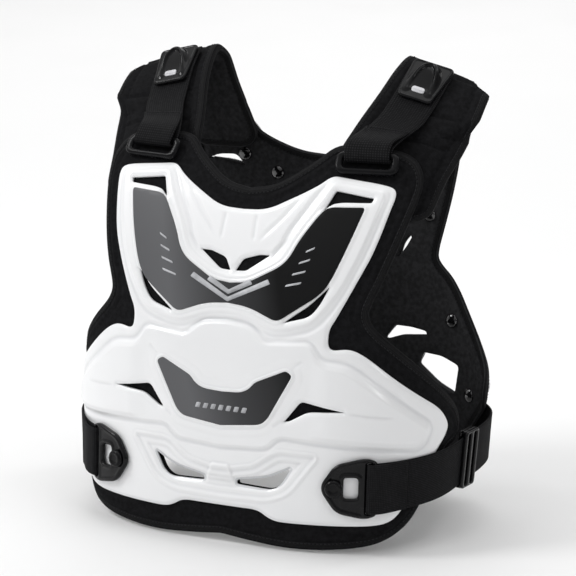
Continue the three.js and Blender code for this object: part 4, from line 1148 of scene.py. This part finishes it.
spine_fields = [
    [(0, 0.81, 0), (0.12, 0.805, 8), (0.2, 0.7, 10), (0.13, 0.62, 8), (0, 0.61, 0)],
    [(0, 0.59, 0), (0.13, 0.6, 8), (0.21, 0.5, 10), (0.13, 0.41, 8), (0, 0.4, 0)],
    [(0, 0.38, 0), (0.13, 0.39, 8), (0.21, 0.29, 10), (0.13, 0.2, 8), (0, 0.19, 0)],
    [(0, 0.17, 0), (0.13, 0.18, 8), (0.19, 0.1, 10), (0.1, 0.045, 8), (0, 0.045, 0)],
]
wing_fields = [
    [(0.4, 0.9, 8), (0.6, 0.93, 12), (0.56, 0.8, 20), (0.46, 0.65, 10), (0.3, 0.72, 12)],
    [(0.3, 0.6, 10), (0.47, 0.56, 14), (0.72, 0.4, 18), (0.9, 0.29, 14), (0.72, 0.22, 14),
     (0.42, 0.34, 14), (0.28, 0.42, 10)],
    [(0.3, 0.27, 10), (0.6, 0.18, 18), (0.62, 0.07, 14), (0.28, 0.06, 10)],
]


back_field_bands = [(smooth, 0, 2.6, 1.6), (bump, -3.2, 3.0, -1.1), (smooth, 10, 3.0, -0.9)]
back_edge_roll = [(bump, 9.5, 4.5, 0.9)]


def back_shell_relief(points, gap):
    lift = np.full(len(points), shell_gap + back_shell_wall)
    outlines = [whole(on_back_shell(rows)) for rows in spine_fields]
    outlines += [on_back_shell(rows) for rows in wing_fields]
    for outline in outlines:
        lift += banded(signed(folded(points), rounded(outline, 2)), back_field_bands)
    return lift + banded(gap, back_edge_roll) - edge_fall(gap)


back_shell_loops = loops_of(on_back_shell(back_shell_edge), [], 1.8) + back_loops[1:]
back_shell = sheet_mesh(
    "back_shell_skin", back_shell_loops, 1.8, back_shell_relief, shell_gap, back.at, 1.2, coarse=6
)
dress(back_shell, shell_material, "white_plastic", "back_shell")


# ---- Rivets ----
def frame_at(place, step):
    """Origin and axes of a surface at its (0, 0, 0)."""
    x_axis = unit(place(step, 0, 0) - place(-step, 0, 0))
    z_axis = unit(np.cross(x_axis, place(0, step, 0) - place(0, -step, 0)))
    return place(0, 0, 0), np.stack([x_axis, np.cross(z_axis, x_axis), z_axis])


def in_frame(axes):
    origin, basis = axes
    return lambda x, y, z: origin + np.stack(floats(x, y, z), -1) @ basis


def lathe(name, profile, place, segments=40):
    """A turned piece: profile is (radius, height) from the outer foot to the middle of the top."""
    angles = np.arange(segments) * 2 * math.pi / segments
    radius, height = np.array(profile).T[..., None]
    x, y, z = floats(radius * np.cos(angles), radius * np.sin(angles), height)
    return ring_mesh(name, place(x, y, z), stack(x, y).reshape(-1, 2), closed=False)


rivet_profile = [
    (6.9, -0.6), (7.35, -0.1), (7.5, 0.3), (7.35, 0.8), (6.95, 1.35), (6.4, 1.9), (5.7, 2.4),
    (4.9, 2.8), (4.0, 3.12), (3.0, 3.36), (2.0, 3.51), (1.0, 3.58), (0.05, 3.6),
]
for rivet_name, (share_across, share_up) in rivet_places.items():
    (rivet_x, rivet_y, _), = on_back([(share_across, share_up, 0)])
    rivet_axes = frame_at(
        lambda x, y, z: back_turned(rivet_x + x, rivet_y + y, z + 0.2), 2
    )
    rivet = lathe(f"rivet_{rivet_name}_left", rivet_profile, in_frame(rivet_axes))
    dress_pair(rivet, rivet_material, "black_plastic", f"back_rivet_{rivet_name}")


# ---- Shoulder pads ----
seam_inset = 15
seam_half = 2.4
cross_seams = (0.3, 0.42, 0.6)
most_puff = 2.6
pad_tape_width = 7.0
pad_thread_inset = 5.8


def pad_outline(step=3.0):
    along = np.arange(0, pad_path.length + step / 2, step)
    along = along * pad_path.length / along[-1]
    from_end = np.maximum(0, np.minimum(along, pad_path.length - along))
    rise = np.maximum(pad_corner - from_end, 0)
    inset = pad_corner - np.sqrt(np.maximum(pad_corner**2 - rise**2, 0))
    half = pad_path.half_width(along) - inset
    return even(np.vstack([stack(half, along), stack(-half, along)[::-1]]), step)


def pad_seam(points):
    """How deep the sewn lines of the outer face are, from 0 to 1."""
    half, across = pad_path.half_width(points[:, 1]), np.abs(points[:, 0])
    side = bump((half - across - seam_inset) / seam_half)
    cross = np.max([
        bump((points[:, 1] - share * pad_path.length) / seam_half) for share in cross_seams
    ], axis=0)
    return np.maximum(side, cross * smooth((half - seam_inset - across) / 2))


def pad_lining_seam(points):
    return bump(points[:, 0] / seam_half)


def puffed(piece, pinned, most):
    """Cloth under pressure, with the sewn places held, and no point moved further than most."""
    rest = np.empty(len(piece.data.vertices) * 3)
    piece.data.vertices.foreach_get("co", rest)
    group = piece.vertex_groups.new(name="sewn")
    for index, weight in enumerate(pinned):
        if weight > 0.02:
            group.add([index], float(min(weight, 1.0)), "REPLACE")
    cloth = piece.modifiers.new("Cloth", "CLOTH")
    for name, value in {
        "quality": 6, "mass": 0.3, "tension_stiffness": 20, "compression_stiffness": 20,
        "shear_stiffness": 12, "bending_stiffness": 2, "use_pressure": True,
        "uniform_pressure_force": 5, "vertex_group_mass": "sewn",
    }.items():
        setattr(cloth.settings, name, value)
    cloth.settings.effector_weights.gravity = 0
    cloth.collision_settings.use_collision = False
    cloth.point_cache.frame_start = 1
    cloth.point_cache.frame_end = 20
    for number in range(1, 21):
        scene.frame_set(number)
    shaped = piece.evaluated_get(bpy.context.evaluated_depsgraph_get())
    moved = np.empty(len(rest))
    shaped.data.vertices.foreach_get("co", moved)
    piece.modifiers.remove(cloth)
    piece.vertex_groups.clear()
    change = (moved - rest).reshape(-1, 3)
    size = np.linalg.norm(change, axis=1, keepdims=True)
    change *= np.minimum(1, most * MM / np.maximum(size, 1e-9))
    piece.data.vertices.foreach_set("co", rest + change.ravel())
    piece.data.update()
    scene.frame_set(1)


def pad_lift(seam, depth, points, gap):
    return pad_face - 1.2 - depth * seam(points) - 1.6 * (1 - smooth(gap / 9))


pad_loop = pad_outline()
pad = sheet_mesh(
    "shoulder_pad_foam_left", [pad_loop], 3.2,
    lambda points, gap: pad_lift(pad_seam, 2.4, points, gap),
    lambda points, gap: -pad_lift(pad_lining_seam, 1.8, points, gap),
    pad_path.at, 1.5, 1.5,
)
pad_flat = flat_points["shoulder_pad_foam_left"]
upper_half = np.arange(len(pad_flat)) < len(pad_flat) // 2
pad_pins = np.where(upper_half, pad_seam(pad_flat), pad_lining_seam(pad_flat))
pad_rim = 1 - smooth((edge_distance(pad_flat, [pad_loop]) - 6) / 3)
puffed(pad, np.maximum(pad_pins, pad_rim), most_puff)
lower_faces = [all(not upper_half[k] for k in face.vertices) for face in pad.data.polygons]
for piece in dress_pair(pad, foam_material, "black_foam", "shoulder_pad"):
    piece.data.materials.append(lining_material)
    piece.data.polygons.foreach_set("material_index", np.array(lower_faces, np.int32))
pad_tape_lift, pad_thread_lift = pad_face - 2.2, pad_face - 1.45
edge_trim("shoulder_pad_{}_left", pad_loop, pad_path.at, pad_tape_lift, -pad_tape_lift,
          pad_tape_width, pad_thread_inset,
          [(pad_path.at, pad_thread_lift), (pad_path.at, -pad_thread_lift)], dress_pair)

# ---- Rings ----
front_rise = 2 / float(np.linalg.norm(
    front.at(ring_out, -ring_drop - 1, 0) - front.at(ring_out, -ring_drop + 1, 0)
))
ring_axes = frame_at(
    lambda x, y, z: front.at(ring_out + x, -ring_drop + y * front_rise, z), 2
)
ring_top = seat_gap + webbing_wall + 2 * flat_gap + ring_wall
ring_slot_low = -ring_height / 2 + ring_bar
ring_slot_half = webbing_width / 2 + ring_slack
ring_loops = [
    box_loop(-ring_width / 2, ring_width / 2, -ring_height / 2, ring_height / 2, 10, 1.2),
    box_loop(-ring_slot_half, ring_slot_half, ring_slot_low, -ring_slot_low, 4, 1.2)[::-1],
]
ring = sheet_mesh(
    "strap_ring_frame_left", ring_loops, 1.2,
    lambda points, gap: ring_top - 1.2 + 0.4 * bump((gap - 3) / 2),
    lambda points, gap: np.where(
        points[:, 1] > ring_slot_low - 1, ring_top - ring_wall, seat_gap
    ),
    in_frame(ring_axes), 2.4, 1.0,
)
dress_pair(ring, frame_material, "black_plastic", "strap_ring")


# ---- Straps ----
def strap(name, route, width, wall, place, step=2.0, across_count=14):
    """A flat strap along a route of (along, lift) places of its middle layer."""
    route = np.array(route, float)
    lengths = run_lengths(route)
    count = max(4, int(lengths[-1] / step))
    at = np.linspace(0, lengths[-1], count)
    path = looked_up(route, lengths, at)
    ahead = unit(np.gradient(path, axis=0))
    normal = stack(-ahead[:, 1], ahead[:, 0])
    half, edge = wall / 2, min(0.9, wall / 2)
    inner = np.linspace(-width / 2 + edge, width / 2 - edge, across_count)
    upper = [(-width / 2, 0.3)] + [(x, 1.0) for x in inner] + [(width / 2, 0.3)]
    section = np.array(upper + [(x, -z) for x, z in upper[::-1]])
    across, along, lift = np.broadcast_arrays(
        section[:, 0],
        path[:, 0, None] + normal[:, 0, None] * section[:, 1] * half,
        path[:, 1, None] + normal[:, 1, None] * section[:, 1] * half,
    )
    uv = stack(at[:, None], across).reshape(-1, 2)
    return ring_mesh(name, place(across, along, lift), uv, closed=False)


def loop_route(bar_along, bar_length, bar_wall, wall, end, fold):
    """From the folded end, over the bar, round it and back under to the far end."""
    low = bar_along - bar_length / 2 - seat_gap
    high = bar_along + bar_length / 2 + seat_gap
    over = wall * 1.5 + bar_wall + 2 * seat_gap
    under = wall / 2
    middle, radius = (over + under) / 2, (over - under) / 2
    rest = wall * 1.5 + 0.1
    route = [
        (high + fold * share, rest + (over - rest) * float(bump(share) ** 1.2))
        for share in np.linspace(1, 0.06, 12)
    ]
    route += [(high + 0.5, over), (low + 1, over)]
    route += [
        (low - wall * 0.3 + radius * 0.75 * math.cos(turn), middle + radius * math.sin(turn))
        for turn in np.radians(np.linspace(90, 270, 13)[1:-1])
    ]
    return route + [(low + 1, under), (high, under), (end, under)]


def frame_station(axes, along, lift):
    origin, basis = axes
    return origin + np.array([0, along, lift]) @ basis, basis[0]


def pad_station(along, lift):
    middle, left, right = (
        pad_path.at(webbing_shift + dx, along, pad_face + lift) for dx in (0, -2, 2)
    )
    return middle, unit(right - left)


# The webbing's way: (share of the ring's height, lift) and (share of the adjuster, lift)
ring_ride = [(-1, seat_gap), (0, seat_gap), (0.75, seat_gap)]
pad_ride = [
    (-0.95, webbing_ride), (-0.6, flat_gap + 0.4), (-0.25, flat_gap), (0, flat_gap),
    (0.25, flat_gap), (0.44, flat_gap),
]
adjuster_along = pad_path.length * adjuster_place
webbing = Ribbon(
    [frame_station(ring_axes, share * ring_height, lift) for share, lift in ring_ride]
    + [pad_station(adjuster_along + share * adjuster_length, lift) for share, lift in pad_ride]
)
webbing_bar = ring_height * 1.5 - ring_bar / 2
webbing_route = loop_route(webbing_bar, ring_bar, ring_wall, webbing_wall, webbing.length, 34)
webbing_strap = strap(
    "shoulder_webbing_left", webbing_route, webbing_width, webbing_wall, webbing.at
)
dress_pair(webbing_strap, webbing_material, "black_webbing", "shoulder_strap")


fine_thread = {"pitch": 3.2, "length": 2.4, "radius": 0.4, "closed": False}


def sewn(name, lines, place, lift):
    """Fine stitches along flat lines, dressed as a pair."""
    rows = [
        stitches(f"sew_{k}", line, place, lift, **fine_thread) for k, line in enumerate(lines)
    ]
    dress_pair(join(name, rows), thread_material, "black_webbing")


sew_half = webbing_width / 2 - 2
sewn(
    "shoulder_webbing_stitches_left",
    [[(-sew_half, webbing_bar + past), (sew_half, webbing_bar + past)] for past in (33, 36.5)],
    webbing.at, webbing_wall * 2 + 0.15,
)

# ---- Adjusters ----
adjuster_axes = frame_at(
    lambda x, y, z: pad_path.at(
        webbing_shift + x, adjuster_along + y, pad_face + webbing_wall + 2 * flat_gap + z
    ), 8,
)
adjuster_half = adjuster_length / 2
horseshoe_half, horseshoe_foot, horseshoe_height = 12.6, -15, 33.5
horseshoe_turn = np.linspace(0, math.pi, 41)
horseshoe = stack(
    horseshoe_half * np.cos(horseshoe_turn),
    horseshoe_foot + horseshoe_height * np.sin(horseshoe_turn) ** 0.85,
)


def adjuster_lift(points, gap):
    """A plate with a rim, a horseshoe ridge and a ramp inside it."""
    away, along = line_distance(points, horseshoe)
    crest = 1.6 + 6.4 * smooth((1 - np.abs(2 * along - 1)) / 0.75)
    ridge = crest * bump(away / 5.6) ** 0.8
    ramp = 1.0 + 4.2 * smooth((points[:, 1] + 14) / 30)
    within = np.where(inside(points, [horseshoe]), smooth(away / 3.5), 0)
    rim = 0.8 * bump((gap - 1.5) / 1.5)
    return adjuster_base * 0.62 + rim + np.maximum(ridge, ramp * within) * smooth((gap - 1.5) / 2)


adjuster_loop = rounded([
    (-adjuster_low_width / 2, -adjuster_half, 6), (adjuster_low_width / 2, -adjuster_half, 6),
    (adjuster_high_width / 2, adjuster_half, 7), (-adjuster_high_width / 2, adjuster_half, 7),
], 1.0)
adjuster = sheet_mesh(
    "adjuster_body_left", [adjuster_loop], 1.0, adjuster_lift, 0, in_frame(adjuster_axes), 1.0, 0.3
)
dress_pair(adjuster, gloss_material, "black_plastic", "shoulder_adjuster")

badge_loop = box_loop(
    -badge_length / 2, badge_length / 2, -badge_width / 2, badge_width / 2, badge_width * 0.48, 0.6
)
badge_centre = -adjuster_length * 0.27


def on_slope(x, y, z):
    points = stack(x, y + badge_centre).reshape(-1, 2)
    lift = adjuster_lift(points, edge_distance(points, [adjuster_loop])).reshape(np.shape(x))
    return in_frame(adjuster_axes)(x, y + badge_centre, lift + z)


badge = sheet_mesh("badge_pill_left", [badge_loop], 0.7, 1.0, -0.3, on_slope, 0.6, 0.3)
dress_pair(badge, badge_material, "white_badge", "adjuster_badge")

# ---- Hook plates and studs ----
hook_bottom = shell_top + seat_gap
hook_thickness = strap_wall + seat_gap + hook_wall
hook_top = hook_bottom + hook_thickness
slot_across = hook_outer - hook_bar - hook_slot
hook_span = hook_outer - hook_apex
hook_loop = rounded([
    (hook_apex + a * hook_span, -hook_drop + (u - 0.5) * hook_height, r) for a, u, r in hook_edge
], 1.2)
slot_half = strap_width / 2 + 1
slot_low, slot_high = -hook_drop - slot_half, -hook_drop + slot_half
hook_slot_loop = box_loop(
    slot_across + 1.6, slot_across + hook_slot, slot_low, slot_high, 2, 1.2
)[::-1]
window_left, window_right = 129, 143
window_low, window_high = -hook_drop - 10, -hook_drop + 11
hook_window = rounded([
    (window_left, window_low, 3), (window_right, window_low, 4), (window_right, window_high, 4),
    (window_left, window_high, 3),
], 1.2)[::-1]


def hook_lift(points, gap):
    frame_ridge = 1.0 * bump((gap - 2.6) / 2.6)
    return hook_top - 1.6 + frame_ridge - 0.9 * smooth((points[:, 0] - 150) / 8)


hook_front = sheet_mesh(
    "hook_front", [hook_loop, hook_slot_loop, hook_window], 1.4, hook_lift,
    hook_top - hook_wall - 1.4, front.at, 1.3, 0.3,
)
hook_rear = sheet_mesh(
    "hook_rear", [box_loop(slot_across - 3, slot_across + 2.6, slot_low, slot_high, 1, 1.2)], 1.6,
    hook_bottom + 0.7, hook_bottom, front.at, 0.2, 0.3,
)
hook = join("hook_plate_body_left", [hook_front, hook_rear])
dress_pair(hook, plastic_material, "black_plastic", "hook_plate")

stud_axes = frame_at(
    lambda x, y, z: front.at(stud_out + x, -hook_drop + y, hook_bottom + z), 4
)
stud_seat = hook_thickness + 2 * flat_gap - 1.6
stud_cap = [
    (3.0, 0), (8.2, 0), (8.9, 0.5), (9.0, 1.6), (8.8, 2.6), (8.2, 3.6), (7.2, 4.3), (6.0, 4.5),
    (5.2, 4.3), (4.6, 3.7), (3.0, 3.5), (0.05, 3.5),
]
stud_profile = [(3.0, 0.0)] + [(r, stud_seat + h) for r, h in stud_cap]
stud = lathe("hook_stud_cap_left", stud_profile, in_frame(stud_axes))
dress_pair(stud, gloss_material, "black_plastic", "hook_stud")


# ---- Side straps and sliders ----
def side_station(side, arc, drop, lift):
    upper = side.at(arc, -drop + 4, lift)
    lower = side.at(arc, -drop - 4, lift)
    return side.at(arc, -drop, lift), unit(lower - upper)


def side_stations(steps=14):
    """Round the side, from the hook plate to where the strap is sewn on the back shell."""
    stations = []
    front_start = hook_outer - strap_lead
    front_end = front.end(-strap_side_drop) - strap_turn
    back_end = back.end(-strap_back_drop) - strap_turn
    for i in range(steps + 1):
        arc = front_start + (front_end - front_start) * i / steps
        share = max(0, (arc - hook_outer) / (front_end - hook_outer))
        drop = strap_front_drop + share * (strap_side_drop - strap_front_drop)
        stations.append(side_station(front, arc, drop, hook_bottom))
    for i in range(steps + 1):
        arc = back_end + (strap_back_end - back_end) * i / steps
        drop = strap_side_drop + (0.3 + 0.7 * i / steps) * (strap_back_drop - strap_side_drop)
        stations.append(side_station(back, arc, drop, 2 * shell_gap + back_shell_wall))
    return stations


side_ribbon = Ribbon(side_stations())
side_bar = strap_lead - hook_bar / 2
side_route = loop_route(side_bar, hook_bar, hook_wall, strap_wall, side_ribbon.length, 30)
side_strap = strap("side_elastic_left", side_route, strap_width, strap_wall, side_ribbon.at)
dress_pair(side_strap, elastic_material, "black_webbing", "side_strap")
box_near, box_far, box_side = side_ribbon.length - 24, side_ribbon.length - 3, 22
corners = [(x, y) for y in (box_near, box_far) for x in (-box_side, box_side)]
boxed_cross = [
    [corners[i], corners[j]] for i, j in ((2, 3), (0, 1), (2, 0), (3, 1), (2, 1), (3, 0))
]
sewn("side_elastic_stitches_left", boxed_cross, side_ribbon.at, strap_wall + 0.15)

slider_along = side_ribbon.length * 0.5
slider_axes = frame_at(lambda x, y, z: side_ribbon.at(x, slider_along + y, z), 3)
slider_inside = strap_width / 2 + slider_clearance * 2
slider_half = slider_height / 2
slider_outline = box_loop(-slider_half, slider_half, -slider_length / 2, slider_length / 2, 5, 1.2)
slider_slots = [
    box_loop(-slider_inside, slider_inside, low * slider_length, high * slider_length, 2, 1.2)[::-1]
    for low, high in ((-slider_rim, -slider_bar), (slider_bar, slider_rim))
]
slider_low = strap_wall + slider_clearance - 0.6
slider_end = slider_length / 2 - 2
slider_parts = [
    # (outlines, grid, top, bottom, rim)
    ([slider_outline, *slider_slots], 1.3, slider_low + slider_wall, slider_low, 1.4),
    ([slider_outline], 2.4, -slider_clearance, -slider_wall / 2 - slider_clearance, 0.6),
]
for low, high in ((-slider_half, -slider_inside), (slider_inside, slider_half)):
    side_loop = box_loop(low, high, -slider_end, slider_end, 1.2, 1.2)
    slider_parts.append(([side_loop], 1.6, slider_low + 1, -slider_clearance - 0.2, 0.3))
slider = join("strap_slider_frame_left", [
    sheet_mesh(f"slider_{k}", loops, grid, top, bottom, in_frame(slider_axes), rim, 0.3)
    for k, (loops, grid, top, bottom, rim) in enumerate(slider_parts)
])
dress_pair(slider, plastic_material, "black_plastic", "strap_slider")

# ---- Stage ----
floor_half = 40.0
floor_z = cad_box[0].z - 0.002
floor_mesh = bpy.data.meshes.new("floor")
floor_mesh.from_pydata(
    [(x * floor_half, y * floor_half, floor_z) for x, y in ((-1, -1), (1, -1), (1, 1), (-1, 1))],
    [], [(0, 1, 2, 3)],
)
floor = add_object("floor", floor_mesh)
floor_paint = Paint("floor", (0.84, 0.84, 0.84), Roughness=0.8)
floor_paint.vary_roughness(floor_paint.noise(5), 0.6, 0.8)
floor_mesh.materials.append(floor_paint.material)

part_middle = (0.02, -0.1, -0.22)
for name, place, aim, size, watts in (
    ("key", (-1.9, -1.3, 1.9), part_middle, (0.8, 0.8), 33),
    ("fill", (2.2, -1.15, 0.7), part_middle, (0.22, 0.8), 4.5),
    ("top", (0.3, 0.1, 2.2), part_middle, (1.2, 1.2), 6),
    ("rear", (1.6, 1.7, 1.9), part_middle, (0.7, 0.7), 9),
    ("backdrop", (-1.5, 3.8, 2.5), (-1.5, 3.8, -0.5), (3.0, 4.0), 48),
):
    light = bpy.data.lights.new(name, "AREA")
    light.shape = "RECTANGLE"
    light.size, light.size_y = size
    light.energy = watts
    lamp = add_object(name, light)
    lamp.location = place
    lamp.rotation_euler = (Vector(aim) - Vector(place)).to_track_quat("-Z", "Y").to_euler()

# The sky is bright above and grey at the horizon, and leans to the wearer's right
world = bpy.data.worlds.new("studio")
world.use_nodes = True
sky = world.node_tree
way = sky.nodes.new("ShaderNodeTexCoord")
lean = sky.nodes.new("ShaderNodeVectorMath")
lean.operation = "DOT_PRODUCT"
lean.inputs[1].default_value = (-0.42, 0.0, 1.0)
brightness = sky.nodes.new("ShaderNodeMapRange")
for socket, number in (("From Min", 0), ("From Max", 1), ("To Min", 0.2), ("To Max", 1.05)):
    brightness.inputs[socket].default_value = number
sky.links.new(way.outputs["Generated"], lean.inputs[0])
sky.links.new(lean.outputs["Value"], brightness.inputs["Value"])
sky.links.new(brightness.outputs["Result"], sky.nodes["Background"].inputs["Strength"])
sky.nodes["Background"].inputs["Color"].default_value = (1, 1, 1, 1)
scene.world = world
scene.view_settings.view_transform = "Standard"

camera_data = bpy.data.cameras.new("camera")
camera_data.lens = camera_lens
camera_data.sensor_width = camera_sensor
camera_data.clip_end = 50
camera = add_object("camera", camera_data)
back_way = Vector((
    math.sin(camera_azimuth) * math.cos(camera_elevation),
    -math.cos(camera_azimuth) * math.cos(camera_elevation),
    math.sin(camera_elevation),
))
camera.location = camera_aim + back_way * camera_distance
camera.rotation_euler = (-back_way).to_track_quat("-Z", "Y").to_euler()
scene.camera = camera

bpy.context.view_layer.update()
